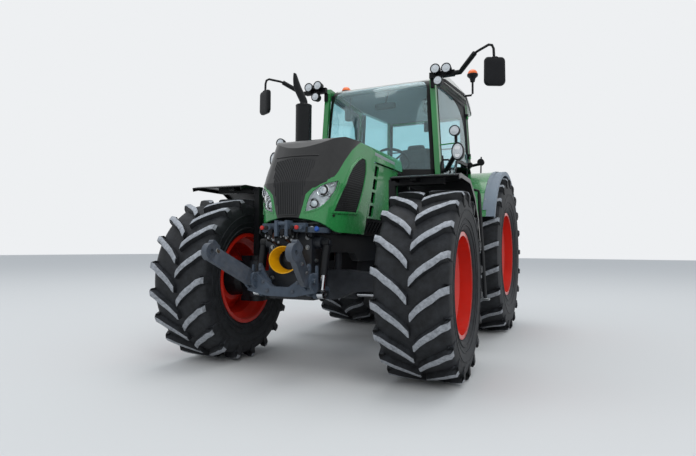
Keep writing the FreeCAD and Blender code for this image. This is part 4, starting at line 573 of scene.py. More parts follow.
def ribbon(piece: Piece, path: Sequence[Hit], width: float, height: float, finish: Finish,
           closed: bool = False) -> None:
    """Lays a low moulding with sloped flanks along a path on a surface.

    Args:
        piece: The mesh to add to.
        path: Places with their normals.
        width: Width over the foot in metres.
        height: How far it stands up.
        finish: Its finish.
        closed: Whether the path meets its own start.
    """
    rows = []
    count = len(path)
    if count < 2:
        return
    for i, (place, normal) in enumerate(path):
        ahead = path[(i + 1) % count][0] if closed or i + 1 < count else place
        behind = path[i - 1][0] if closed or i else place
        run = ahead - behind
        if run.length < 1e-6:
            continue
        side = run.normalized().cross(normal).normalized()
        foot, sunk = side * (width / 2), normal * 0.002
        top, raised = side * (width * 0.32), normal * height
        rows.append([place + foot - sunk, place + top + raised, place - top + raised, place - foot - sunk])
    if closed:
        rows.append(rows[0])
    piece.grid(rows, finish, closed=True, capped=not closed)


def patch(piece: Piece, skin: Skin, near: Sequence[Point], far: Sequence[Point], direction: Point,
          finish: Finish, lift: float = 0.0015, steps: int = 8) -> None:
    """Thin skin on a surface between two lines of ray origins.

    Args:
        piece: The mesh to add to.
        skin: The surface.
        near: One line of ray origins.
        far: The other, with as many points.
        direction: Heading of the rays.
        finish: Its finish.
        lift: How far it stands off the surface.
        steps: Number of facets between the lines and between two points of a line.
    """
    rows = []
    for i in range((len(near) - 1) * steps + 1):
        a, b = (between(line, i / steps) for line in (near, far))
        hits = [skin.touch(a.lerp(b, j / steps), direction) for j in range(steps + 1)]
        if all(hits):
            rows.append([place + normal * lift for place, normal in hits])
    if len(rows) > 1:
        piece.grid(rows, finish)


def between(line: Sequence[Point], share: float) -> Vector:
    """Point on a line of points, share counting from 0 at the first by 1 to the next."""
    k = min(int(share), len(line) - 2)
    return Vector(line[k]).lerp(Vector(line[k + 1]), share - k)


def disc_lamp(piece: Piece, place: Matrix, r: float, rim: Finish, bowl: Finish) -> None:
    """Round lamp front of radius r: a raised rim, a faceted bowl and a bright middle, facing local Z."""
    piece.turned([(r, -0.004), (r, 0.006), (r * 0.93, 0.009), (r * 0.86, 0.004), (r * 0.86, -0.004)], place,
                 rim, 36)
    piece.turned([(r * 0.87, 0.001), (r * 0.7, 0.0035), (r * 0.42, 0.005), (r * 0.38, 0.0075), (r * 0.2, 0.009),
                  (TIP, 0.0095)], place, bowl, 24)


def hex_bolts(piece: Piece, places: Iterable[Matrix], r: float, height: float, finish: Finish) -> None:
    """Washer and hexagon head of radius r at each place, standing along local Z."""
    washer = height * 0.22
    for place in places:
        piece.turned([(r * 1.35, 0.0), (r * 1.35, washer)], place, finish, 14)
        piece.turned([(r, washer), (r, height * 0.9), (r * 0.85, height)], place, finish, 6)


@dataclass
class Bonnet:
    """Trim of the bonnet: ribs of the mask, lamps behind their lenses, grille meshes and seams."""

    rib_pitch: float = 0.017
    rib_height: float = 0.0035
    ribs_aside: int = 11
    ribs_top: float = 1.620
    ray_y: float = -3.635
    lens_y: float = -3.250
    ray_x: float = 0.7
    wires: int = 32
    lamp_outline: Tuple[Pair, ...] = (
        (0.137, 1.262), (0.150, 1.330), (0.170, 1.392), (0.200, 1.430), (0.250, 1.470), (0.300, 1.502),
        (0.338, 1.524), (0.330, 1.470), (0.322, 1.430), (0.300, 1.370), (0.276, 1.326), (0.248, 1.298),
        (0.210, 1.280), (0.170, 1.268))
    lamp_dish: Tuple[Pair, ...] = (
        (0.99, 0.013), (0.95, 0.018), (0.90, 0.034), (0.70, 0.040), (0.35, 0.042), (0.02, 0.042))
    grille_front: Tuple[Pair, ...] = (
        (-2.800, 1.745), (-2.870, 1.712), (-2.965, 1.640), (-3.036, 1.555), (-3.105, 1.445), (-3.152, 1.345),
        (-3.186, 1.268))
    grille_back: Tuple[Pair, ...] = (
        (-2.740, 1.738), (-2.728, 1.700), (-2.736, 1.630), (-2.770, 1.545), (-2.815, 1.440), (-2.860, 1.352),
        (-2.905, 1.272))
    brow_low: Tuple[Pair, ...] = (
        (-3.200, 1.530), (-3.160, 1.545), (-3.117, 1.586), (-3.029, 1.692), (-2.937, 1.786), (-2.863, 1.838),
        (-2.800, 1.872))
    brow_high: Tuple[Pair, ...] = (
        (-3.205, 1.560), (-3.170, 1.615), (-3.130, 1.670), (-3.040, 1.765), (-2.940, 1.822), (-2.860, 1.862),
        (-2.790, 1.895))

    def build(self) -> None:
        """Makes every piece of the bonnet's trim."""
        self._ribs()
        for side in Side:
            self._lamp(side)
            self._grille(side)
        self._badges()

    def _ribs(self) -> None:
        """Upright ribs over the lower nose, as the moulded air intake has."""
        piece = Piece("mask_ribs")
        skin = Skin("bonnet_mask")
        for k in range(-self.ribs_aside, self.ribs_aside + 1):
            x = k * self.rib_pitch
            low = 1.250 + max(0.0, abs(x) - 0.085) * 4.2
            if low <= self.ribs_top:
                path = skin.trace([at(x, self.ray_y, low), at(x, self.ray_y, 1.70 - abs(x) * 0.12)], BACK)
                ribbon(piece, path, 0.008, self.rib_height, MASK_MESH)
        for z, reach in ((1.715, 0.19), (1.245, 0.075)):
            path = skin.trace([at(-reach, self.ray_y, z), at(reach, self.ray_y, z)], BACK)
            ribbon(piece, path, 0.014, 0.005, DARK_ENAMEL)
        piece.finish("bonnet", "dark_paint")

    def _lamp(self, side: Side) -> None:
        """Lacquered housing with its round bowls behind the lens of one side, and the green rim round it."""
        s = side.value
        piece = Piece(f"headlight_bowls_{side.word}")
        skin = Skin("headlights", "bonnet", "bonnet_mask")
        outline = [Vector((s * x, z)) for x, z in self.lamp_outline]
        middle = sum(outline, Vector((0.0, 0.0))) / len(outline)
        corners = [corner.lerp(outline[(i + 1) % len(outline)], step)
                   for i, corner in enumerate(outline) for step in (0.0, 0.5)]
        rows = []
        for share, depth in self.lamp_dish:
            ring = []
            for x, z in (middle.lerp(corner, share) for corner in corners):
                hit = skin.touch(at(x, self.ray_y, z), BACK)
                ring.append((x, (hit[0].y if hit else self.lens_y + REAR_AXLE_Y) + depth, z))
            rows.append(ring)
        piece.grid(rows, LAMP_HOUSING, closed=True)
        for x, z, r in ((0.250, 1.436, 0.047), (0.192, 1.332, 0.041)):
            hit = skin.touch(at(s * x, self.ray_y, z), BACK)
            if hit:
                place = aimed((s * x, hit[0].y + 0.040, z), (s * 0.25, -1.0, 0.0))
                piece.turned([(r + 0.004, -0.004), (r + 0.004, 0.014), (r, 0.018), (r * 0.93, 0.016),
                              (r * 0.88, 0.006)], place, REFLECTOR, 36)
                piece.turned([(r * 0.89, 0.006), (r * 0.74, 0.000), (r * 0.58, -0.001)], place, DARK_BEZEL,
                             36)
                piece.turned([(r * 0.60, -0.002), (r * 0.58, 0.008), (r * 0.38, 0.014), (r * 0.14, 0.017),
                              (TIP, 0.0175)], place, LENS_GLASS, 28)
        for x, z, r in ((0.298, 1.478, 0.016), (0.286, 1.400, 0.012)):
            hit = skin.touch(at(s * x, self.ray_y, z), BACK)
            if hit:
                place = aimed((s * x, hit[0].y + 0.034, z), (s * 0.3, -1.0, 0.0))
                piece.turned([(r, -0.006), (r, 0.008), (r * 0.8, 0.010), (r * 0.7, 0.002)], place, REFLECTOR,
                             20)
        rim = [at(s * x, self.ray_y, z) for x, z in self.lamp_outline]
        path = skin.trace(rim + rim[:1], BACK, 0.012)
        ribbon(piece, path[:-1], 0.016, 0.0045, GREEN_ENAMEL, closed=True)
        piece.finish("bonnet", "clear_lens")

    def _grille(self, side: Side) -> None:
        """Black mesh on the flank, its wires, the green lip round it and the dark brow over the lamp."""
        s = side.value
        skin = Skin("bonnet", "bonnet_grilles", "bonnet_mask")
        inwards = (-s, 0, 0)
        piece = Piece(f"side_grille_{side.word}")
        front, back, low, high = ([at(s * self.ray_x, y, z) for y, z in line] for line in (
            self.grille_front, self.grille_back, self.brow_low, self.brow_high))
        patch(piece, skin, front, back, inwards, GRILLE_BLACK_AND_SHADE, 0.002)
        for k in range(self.wires):
            share = (k + 0.5) / self.wires * (len(front) - 1)
            path = skin.trace([between(front, share), between(back, share)], inwards, 0.03)
            ribbon(piece, [(p + n * 0.002, n) for p, n in path], 0.006, 0.0015, MASK_MESH)
        rim = front + back[::-1]
        path = skin.trace(rim + rim[:1], inwards, 0.014)
        ribbon(piece, path[:-1], 0.022, 0.011, GREEN_ENAMEL, closed=True)
        patch(piece, skin, low, high, inwards, DARK_ENAMEL, 0.0015, 6)
        screw = skin.touch(at(s * self.ray_x, -3.175, 1.243), inwards)
        if screw:
            piece.turned([(0.010, 0.0), (0.010, 0.007), (0.007, 0.009), (TIP, 0.009)], aimed(*screw),
                         SEAL_RUBBER, 16)
        piece.finish("bonnet", "black_plastic")

    def _badges(self) -> None:
        """Badge place on each flank, left bare."""
        piece = Piece("bonnet_trim")
        skin = Skin("bonnet")
        for s in (side.value for side in Side):
            x = s * self.ray_x
            path = skin.trace([at(x, -2.56, 1.815), at(x, -2.08, 1.800)], (-s, 0, 0), 0.03)
            ribbon(piece, path, 0.040, 0.0012, BADGE_FOIL)
        piece.finish("bonnet", "green_paint")


@dataclass
class EngineBay:
    """What shows through the side panels' slots and under the open bonnet, and on the front frame."""

    panel_x: float = 0.376
    engine_top: float = 1.640
    cooler_front: float = -3.100
    cooler_back: float = -2.900
    cooler_low: float = 1.150
    cooler_high: float = 1.660
    cooler_half: float = 0.215
    slot_outline: Tuple[Pair, ...] = ((-2.71, 1.262), (-2.52, 1.262), (-2.36, 1.735), (-2.55, 1.735))

    def build(self) -> None:
        """Makes the black plates of painted shade behind the slots, the couplings, the bolts, and the engine's
        and the cooler's dress.
        """
        for side in Side:
            self._screen(side)
        self._couplings()
        self._frame_bolts()
        self._block()
        self._cooler()

    def _screen(self, side: Side) -> None:
        """Black plate with cross bars behind the slots of one panel: painted shade standing in for the dark
        inside of the bay.
        """
        piece = Piece(f"slot_screen_{side.word}")
        inner = side.value * (self.panel_x - 0.016)
        points = [(y + REAR_AXLE_Y, z) for y, z in self.slot_outline]
        # the plate is painted shade: a black sheet where the inside of the bay is only dark
        piece.plate(points[::side.value], inner - 0.002, inner + 0.002, axis_frame("x"), GRILLE_BLACK_AND_SHADE)
        for k in range(20):
            z = 1.28 + k * 0.0235
            place = stand(inner + side.value * 0.004, -2.625 + (z - 1.262) * 0.335, z)
            piece.block((0.010, 0.130, 0.006), place, MASK_MESH, 0.001)
        piece.finish("chassis", "black_plastic")

    def _couplings(self) -> None:
        """Row of hydraulic couplings with their dust caps, valve blocks and pipes, and two bottle caps."""
        piece = Piece("front_couplings")
        for x, cap in ((-0.166, RED_MOULDING), (-0.128, SEAL_RUBBER), (0.098, SEAL_RUBBER),
                       (0.136, RED_MOULDING)):
            place = aimed(at(x, -3.420, 1.146), AHEAD)
            piece.turned([(0.013, -0.004), (0.016, 0.0), (0.016, 0.010), (0.011, 0.014), (TIP, 0.015)],
                         place, cap, 20)
            piece.turned([(0.0150, -0.03), (0.0150, -0.012)], place, ZINC, 20)
        for x, cap in ((0.232, BLUE_MOULDING), (0.192, WHITE_MOULDING)):
            piece.turned([(0.014, -0.05), (0.014, 0.0), (0.019, 0.002), (0.019, 0.018), (0.016, 0.022),
                          (TIP, 0.023)], aimed(at(x, -3.285, 1.136), (0.15, -1, 0.25)), cap, 20)
        for x in (-0.105, 0.0, 0.062):
            block = stand(x, -3.352, 1.100)
            piece.block((0.058, 0.070, 0.060), block, BLACK_STEEL, 0.005)
            piece.block((0.036, 0.030, 0.048), block @ shift(0.004, -0.048, 0.012), BLACK_MOULDING, 0.004)
            hex_bolts(piece, [block @ aimed((dx, -0.034, -0.021), AHEAD) for dx in (-0.021, 0.021)],
                      0.006, 0.007, ZINC)
        for k in range(8):
            x, out = -0.150 + 0.040 * k, 0.012 + 0.010 * (k * 3 % 4)
            drop = 1.075 - 0.016 * (k * 5 % 4)
            piece.tube([at(x, -3.330, 1.118), at(x - 0.004, -3.362 - out, 1.112),
                        at(x - 0.006, -3.374 - out, 1.094), at(x - 0.008, -3.372 - out, drop),
                        at(x - 0.010, -3.350, drop - 0.026), at(x - 0.010, -3.280, drop - 0.030)],
                       0.0055, (SEAL_RUBBER, BLACK_STEEL, RUSTY_PIPE)[k % 3], 8)
            piece.turned([(0.009, 0.0), (0.009, 0.016), (0.006, 0.018)],
                         aimed(at(x - 0.0055, -3.3735 - out, drop + 0.002), UP), ZINC, 6)
        for x in (-0.20, 0.205):
            piece.tube([at(x, -3.392, 1.150), at(x, -3.398, 1.106), at(x * 0.95, -3.360, 1.080),
                        at(x * 0.9, -3.270, 1.070)], 0.008, BLACK_STEEL, 8)
        piece.finish("chassis", "black_plastic")

    def _frame_bolts(self) -> None:
        """Bolts round the nose plate of the front frame."""
        piece = Piece("frame_bolts")
        places = [aimed(at(x, -3.290, z), AHEAD) for x in (-0.155, 0.155) for z in (0.66, 0.76, 1.00, 1.075)]
        places += [aimed(at(s * 0.19, y, z), (s, 0, 0)) for s in SIGNS for y in (-3.22, -3.10)
                   for z in (0.90, 1.06)]
        hex_bolts(piece, places, 0.014, 0.016, ZINC)
        piece.finish("chassis", "bright_steel")

    def _block(self) -> None:
        """What stands on the engine block: ribbed rocker cover, air cleaner, intake pipe and filler cap."""
        piece = Piece("engine_dress")
        top = self.engine_top
        cover = stand(-0.020, -2.270, top + 0.034)
        piece.block((0.230, 0.740, 0.068), cover, GREY_CASTING, 0.020)
        for k in range(9):
            piece.block((0.180, 0.016, 0.012), cover @ shift(0, 0.075 * (k - 4), 0.036), GREY_CASTING, 0.003)
        hex_bolts(piece, [cover @ shift(s * 0.128, 0.115 * k, -0.034) for s in SIGNS for k in range(-3, 4)],
                  0.010, 0.014, ZINC)
        piece.turned([(0.034, 0.0), (0.034, 0.020), (0.028, 0.026), (TIP, 0.026)],
                     cover @ shift(0.050, 0.290, 0.032), YELLOW_MOULDING, 24)
        cleaner = [(0.030, 0.0), (0.068, 0.010), (0.072, 0.030)]
        for k in range(5):
            low = 0.060 + 0.060 * k
            cleaner += [(0.072, low), (0.076, low + 0.006), (0.076, low + 0.018), (0.072, low + 0.024)]
        cleaner += [(0.072, 0.370), (0.050, 0.384), (0.050, 0.410)]
        piece.turned(cleaner, aimed(at(0.185, -2.640, top + 0.074), BACK), BLACK_MOULDING, 36)
        hose = ((0.185, -2.235, 0.074), (0.185, -2.170, 0.072), (0.178, -2.125, 0.050), (0.172, -2.110, -0.004))
        piece.tube([at(x, y, top + rise) for x, y, rise in hose], 0.042, BLACK_MOULDING, 20)
        pipe = ((-2.660, -0.004), (-2.656, 0.040), (-2.620, 0.062), (-2.050, 0.062), (-2.010, 0.040),
                (-2.006, -0.004))
        piece.tube([at(-0.205, y, top + rise) for y, rise in pipe], 0.030, PISTON_CHROME, 16)
        for y in (-2.56, -2.34, -2.12):
            piece.block((0.012, 0.030, 0.066), stand(-0.205, y, top + 0.033), BLACK_STEEL, 0.003)
        piece.finish("chassis", "grey_casting")

    def _cooler(self) -> None:
        """Finned core with its frame, and the fan in its ring between cooler and block."""
        piece = Piece("cooler_dress")
        front, back, half = self.cooler_front - 0.004, self.cooler_back, self.cooler_half
        low, high = self.cooler_low, self.cooler_high
        middle = (low + high) / 2
        for k in range(44):
            fin = stand(-half + (k + 0.5) * 2 * half / 44, front, middle)
            piece.block((0.0016, 0.008, high - low), fin, ZINC)
        for k in range(6):
            piece.block((2 * half, 0.010, 0.006), stand(0, front, low + (k + 0.5) * (high - low) / 6), ZINC)
        for s in SIGNS:
            piece.block((0.034, 0.016, 0.580), stand(s * 0.232, front, middle), BLACK_STEEL, 0.003)
            piece.block((0.498, 0.016, 0.034), stand(0, front, middle + s * 0.273), BLACK_STEEL, 0.003)
        ring = aimed(at(0, back, middle), BACK)
        piece.turned([(0.228, 0.0), (0.228, 0.070), (0.222, 0.074), (0.216, 0.070), (0.216, 0.0)], ring,
                     BLACK_MOULDING, 48)
        hub = ring @ shift(0, 0, 0.030)
        piece.turned([(0.050, -0.030), (0.056, -0.020), (0.056, 0.100), (0.030, 0.128)], hub, BLACK_STEEL,
                     28)
        for angle in angles(9):
            blade = hub @ Matrix.Rotation(angle, 4, "Z") @ rotated("X", 28)
            piece.block((0.156, 0.052, 0.004), blade @ shift(0.130, 0, 0), BLACK_MOULDING, 0.001)
        for s, z in ((-1, 1.60), (1, 1.22)):
            piece.tube([at(s * 0.170, back - 0.004, z), at(s * 0.170, back + 0.060, z),
                        at(s * 0.176, back + 0.110, z - 0.010), at(s * 0.180, -2.736, z - 0.012)], 0.026,
                       BLACK_STEEL, 16)
            piece.turned([(0.029, 0.0), (0.029, 0.012)], aimed(at(s * 0.170, back + 0.012, z), BACK), ZINC,
                         20)
        piece.finish("chassis", "bright_steel")


@dataclass
class FrontLinkage:
    """Pins, bolts, ears and hook catches of the front linkage."""

    hinge: Pair = (-3.440, 0.760)
    half_width: float = 0.290
    link_rise: float = 29.0
    ears: Tuple[Tuple[Pair, ...], ...] = (
        ((0.116, -0.070), (0.225, -0.070), (0.225, 0.104), (0.219, 0.117), (0.207, 0.117), (0.192, 0.092),
         (0.174, 0.054), (0.150, 0.018), (0.116, -0.020)),
        ((0.271, -0.070), (0.286, -0.070), (0.286, 0.094), (0.281, 0.106), (0.271, 0.106)))
    ear_back: float = 0.061
    ear_plate: float = 0.022

    def build(self) -> None:
        """Makes the small parts of the swinging frame and of the two links."""
        self._fittings()
        self._ears()
        for side in Side:
            self._catch(side)

    def _fittings(self) -> None:
        """Bolts in the cross member and the heads of the hinge pins."""
        piece = Piece("lift_frame_fittings")
        y, z = self.hinge
        places = [aimed(at(s * x, y + 0.014, z + dz), AHEAD) for s in SIGNS
                  for x, dz in ((0.150, -0.02), (0.110, -0.085))]
        hex_bolts(piece, places, 0.012, 0.010, FORGED_STEEL)
        for s in SIGNS:
            head = aimed(at(s * (self.half_width + 0.022), y, z), (s, 0, 0))
            piece.turned([(0.018, -0.004), (0.018, -0.001), (TIP, 0.0)], head, ZINC, 20)
        piece.finish("front_lift", "bright_steel")

    def _ears(self) -> None:
        """Plates that stand up behind the cross member, with a slot between them for the folding link."""
        piece = Piece("lift_frame_ears")
        y, z = self.hinge
        for s, ear in product(SIGNS, self.ears):
            outline = [(s * x, dz) for x, dz in ear[::s]]
            piece.grid([[at(x, y + depth, z + dz) for x, dz in outline]
                        for depth in (self.ear_back + self.ear_plate, self.ear_back)],
                       GREY_CASTING, closed=True, capped=True)
        hex_bolts(piece, [aimed(at(s * 0.208, y + self.ear_back, z + dz), AHEAD)
                          for s in SIGNS for dz in (0.096, 0.066)], 0.010, 0.008, FORGED_STEEL)
        piece.finish("front_lift", "grey_casting")

    def _catch(self, side: Side) -> None:
        """Catch of one hook, and the bolts along its link."""
        s = side.value
        piece = Piece(f"hook_catch_{side.word}")
        y, z = self.hinge
        turn = stand(0, y, z) @ rotated("X", -self.link_rise) @ Matrix.Translation(-Vector(at(0, y, z)))
        piece.block((0.012, 0.090, 0.030), turn @ stand(s * 0.317, y - 0.35, z + 0.030), ZINC, 0.003)
        places = [turn @ aimed(at(s * (0.268 + 0.095 * t), y - 0.42 * t, z), (s, 0, 0)) for t in (0.3, 0.62)]
        hex_bolts(piece, places, 0.011, 0.010, ZINC)
        piece.finish(f"front_link_{side.word}", "bright_steel")


@dataclass
class Windscreen:
    """Curved screen that rolls back over the driver, with rounded upper corners and a printed black border.

    Each row gives the height, the Y of the edge and the Y of the middle, counted from the rear axle.
    """

    rows: Tuple[Point, ...] = (
        (1.700, -1.490, -1.668), (2.250, -1.488, -1.655), (2.520, -1.478, -1.610), (2.690, -1.460, -1.520),
        (2.756, -1.425, -1.462), (2.792, -1.365, -1.392), (2.8095, -1.264, -1.286))
    front_x: float = 0.668
    lean: float = math.radians(3.5)
    corner: float = 0.230
    border: float = 0.042
    top_border: float = 0.055
    thickness: float = 0.006
    print_lift: float = 0.0012
    columns: int = 56
    steps: int = 64

    def half(self, z: float) -> float:
        """Half width of the screen at a height."""
        return self.front_x - (z - 1.300) * math.tan(self.lean)

    def section(self, share: float) -> Point:
        """Height and the two Y values on a smooth curve through the rows, share running from 0 to 1."""
        rows = self.rows
        place = share * (len(rows) - 1)
        k = min(int(place), len(rows) - 2)
        f = place - k
        p0, p1, p2, p3 = (rows[min(max(k + i, 0), len(rows) - 1)] for i in (-1, 0, 1, 2))
        return tuple(0.5 * (2 * b + (c - a) * f + (2 * a - 5 * b + 4 * c - d) * f ** 2
                            + (3 * b - a - 3 * c + d) * f ** 3) for a, b, c, d in zip(p0, p1, p2, p3))

    def point(self, across: float, share: float) -> Vector:
        """Place on the outer face: across runs from -1 to 1, share from the foot to the roof."""
        z, edge, middle = self.section(share)
        return Vector(at(self.half(z) * across, middle + (edge - middle) * across ** 2, z))

    def normal(self, across: float, share: float) -> Vector:
        """Outward normal there."""
        low, high = max(share - 0.01, 0.0), min(share + 0.01, 1.0)
        up = self.point(across, high) - self.point(across, low)
        side = self.point(min(across + 0.02, 1.0), share) - self.point(max(across - 0.02, -1.0), share)
        return side.cross(up).normalized()

    def build(self) -> None:
        """Makes the glass and its border."""
        self._glass()
        self._border()

    def _shares(self) -> List[float]:
        """Places across the screen at which it is cut into columns."""
        return [2 * j / self.columns - 1 for j in range(self.columns + 1)]

    def _glass(self) -> None:
        """Both faces of the pane and its ground edges."""
        piece = Piece("windscreen_glass")
        outer = [[self.point(a, i / self.steps) for a in self._shares()] for i in range(self.steps + 1)]
        inner = [[p - self.normal(a, i / self.steps) * self.thickness for a, p in zip(self._shares(), row)]
                 for i, row in enumerate(outer)]
        piece.grid(outer, CAB_GLASS)
        piece.grid([row[::-1] for row in inner], CAB_GLASS)
        for end in (0, -1):
            piece.grid([outer[end], inner[end]], CAB_GLASS)
        for end in (0, -1):
            piece.grid([[row[end] for row in outer], [row[end] for row in inner]], CAB_GLASS)
        piece.finish("chassis", "glass", ["windscreen"], smooth=60)

    def _border(self) -> None:
        """Black print round the pane: upright on both sides, rounded above and wide at the foot."""
        piece = Piece("windscreen_border")
        lengths = [0.0]
        for i in range(self.steps):
            run = self.point(0.9, (i + 1) / self.steps) - self.point(0.9, i / self.steps)
            lengths.append(lengths[-1] + run.length)
        top = lengths[-1] - self.top_border
        for s in SIGNS:
            rows = []
            for i, length in enumerate(lengths):
                share = i / self.steps
                half = self.half(self.section(share)[0])
                over = max(0.0, length - (top - self.corner))
                bend = self.corner - math.sqrt(max(self.corner ** 2 - min(over, self.corner) ** 2, 0.0))
                width = self.border + bend if length < top else half
                row = [self._printed(s * max(0.0, 1.0 - width / half * k / 8), share, share)
                       for k in range(9)]
                rows.append(row[::s])
            piece.grid(rows, SEAL_RUBBER)
        foot = [[self._printed(a, share, 0.0) for a in self._shares()] for share in (0.0, 0.045)]
        piece.grid(foot, SEAL_RUBBER)
        piece.finish("chassis", "black_plastic", smooth=60)

    def _printed(self, across: float, share: float, level: float) -> Vector:
        """Place just off the outer face, along the normal that the face has at that level."""
        return self.point(across, share) + self.normal(across, level) * self.print_lift


@dataclass
class CabTrim:
    """Seals, gutter, lining, trims of the pillars, wiper and handles of the cab."""

    ray_x: float = 1.2
    door_top: Tuple[Pair, ...] = (
        (-1.400, 2.722), (-1.200, 2.722), (-1.000, 2.718), (-0.850, 2.705), (-0.730, 2.675), (-0.640, 2.620),
        (-0.560, 2.545), (-0.522, 2.450), (-0.500, 2.300), (-0.492, 2.150))
    print_edge: Tuple[Pair, ...] = (
        (-1.400, 2.742), (-1.200, 2.742), (-1.000, 2.742), (-0.850, 2.742), (-0.6608, 2.725),
        (-0.520, 2.735), (-0.462, 2.700), (-0.462, 2.450), (-0.462, 2.300), (-0.462, 2.150))
    grab_ring: Tuple[Pair, ...] = (
        (0.716, 1.722), (0.700, 1.760), (0.706, 1.880), (0.724, 1.905), (0.780, 1.902), (0.800, 1.880),
        (0.797, 1.770), (0.782, 1.738), (0.730, 1.730), (0.716, 1.722))

    def build(self) -> None:
        """Makes all the cab's trim."""
        self._gutter()
        self._lining()
        self._wiper()
        for side in Side:
            self._door(side)

    def _gutter(self) -> None:
        """Black gutter round the roof's lower edge and the rail under it, and the black hinge pillar."""
        piece = Piece("roof_gutter")
        skin, rail = Skin("cab_roof"), Skin("cab_pillars")
        for s in SIGNS:
            inwards = (-s, 0, 0)
            path = skin.trace([at(s * 1.1, y, 2.832) for y in (-1.24, -0.8, -0.4, 0.0, 0.42)], inwards, 0.03)
            ribbon(piece, path, 0.042, 0.008, SEAL_RUBBER)
            for z in (2.766, 2.796):
                path = rail.trace([at(s * 1.1, y, z) for y in (-1.49, -0.375)], inwards, 0.05)
                ribbon(piece, path, 0.034, 0.003, BLACK_MOULDING)
            path = rail.trace([at(s * 1.1, -0.394, z) for z in (2.02, 2.80)], inwards, 0.06)
            ribbon(piece, path, 0.042, 0.002, BLACK_MOULDING)
        path = skin.trace([at(x, 1.2, 2.832) for x in (-0.56, 0.56)], AHEAD, 0.04)
        ribbon(piece, path, 0.042, 0.008, SEAL_RUBBER)
        piece.finish("chassis", "black_plastic")

    def _lining(self) -> None:
        """Grey lining under the roof, and the black trims inside the pillars."""
        piece = Piece("cab_lining")
        outline = ((-0.57, -1.20), (0.57, -1.20), (0.60, -0.5), (0.50, 0.26), (-0.50, 0.26), (-0.60, -0.5))
        piece.plate([(x, y + REAR_AXLE_Y) for x, y in outline], 2.780, 2.800, axis_frame("z"), ROOF_LINING)
        for s in SIGNS:
            for y, x_low, x_top in ((-0.36, 0.690, 0.644), (0.275, 0.512, 0.498)):
                piece.tube([at(s * x_low, y, 1.985), at(s * (x_low + x_top) / 2, y, 2.4),
                            at(s * x_top, y - 0.015, 2.775)], 0.020, BLACK_MOULDING, 12)
        piece.tube([at(-0.50, 0.262, 2.36), at(0.50, 0.262, 2.36)], 0.009, SEAL_RUBBER, 8)
        piece.finish("chassis", "black_plastic")

    def _wiper(self) -> None:
        """Wiper parked along the lower edge of the windscreen."""
        piece = Piece("wiper")
        skin = Skin("windscreen")
        pivot = at(0.30, -3.0, 1.75)
        blade = skin.trace([at(-0.42, -3.0, 2.02), at(0.10, -3.0, 1.86)], BACK, 0.04)
        ribbon(piece, [(p + n * 0.014, n) for p, n in blade], 0.014, 0.012, SEAL_RUBBER)
        arm = skin.trace([pivot, at(-0.12, -3.0, 1.930)], BACK, 0.05)
        piece.tube([p + n * 0.036 for p, n in arm], 0.008, BLACK_STEEL, 8)
        foot = skin.touch(pivot, BACK)
        if foot:
            piece.turned([(0.026, -0.002), (0.026, 0.034), (0.018, 0.042), (TIP, 0.043)], aimed(*foot),
                         BLACK_MOULDING, 20)
        piece.finish("chassis", "black_plastic")

    def _door(self, side: Side) -> None:
        """Printed border of one door's pane, its handle, and the grab frame and stay beside it."""
        s = side.value
        piece = Piece(f"door_trim_{side.word}")
        skin = Skin(f"door_frame_{side.word}", f"door_glass_{side.word}")
        inwards = (-s, 0, 0)
        inner, outer = ([at(s * self.ray_x, y, z) for y, z in line]
                        for line in (self.door_top, self.print_edge))
        patch(piece, skin, inner, outer, inwards, BLACK_MOULDING, 0.0015, 6)
        ribbon(piece, skin.trace(inner, inwards, 0.03), 0.012, 0.003, SEAL_RUBBER)
        path = skin.trace([at(s * self.ray_x, -1.395, z) for z in (1.83, 1.97)], inwards, 0.05)
        ribbon(piece, path, 0.036, 0.014, BLACK_MOULDING)
        piece.finish(f"door_{side.word}", "black_plastic")
        frame = Piece(f"grab_frame_{side.word}")
        frame.tube([at(s * x, -1.515, z) for x, z in self.grab_ring], 0.010, BLACK_STEEL, 8)
        if side is Side.LEFT:
            frame.tube([at(0.690, -1.510, 2.062), at(0.860, -1.510, 2.070)], 0.007, GREEN_ENAMEL, 8)
        frame.tube([at(s * 0.722, -1.462, 1.34), at(s * 0.640, -1.462, 2.73)], 0.010, SEAL_RUBBER, 8)
        frame.finish("chassis", "black_plastic")


def settled_mesh(item: bpy.types.Object) -> bpy.types.Mesh:
    """New mesh of an object as its modifiers leave it."""
    return bpy.data.meshes.new_from_object(item.evaluated_get(bpy.context.evaluated_depsgraph_get()))


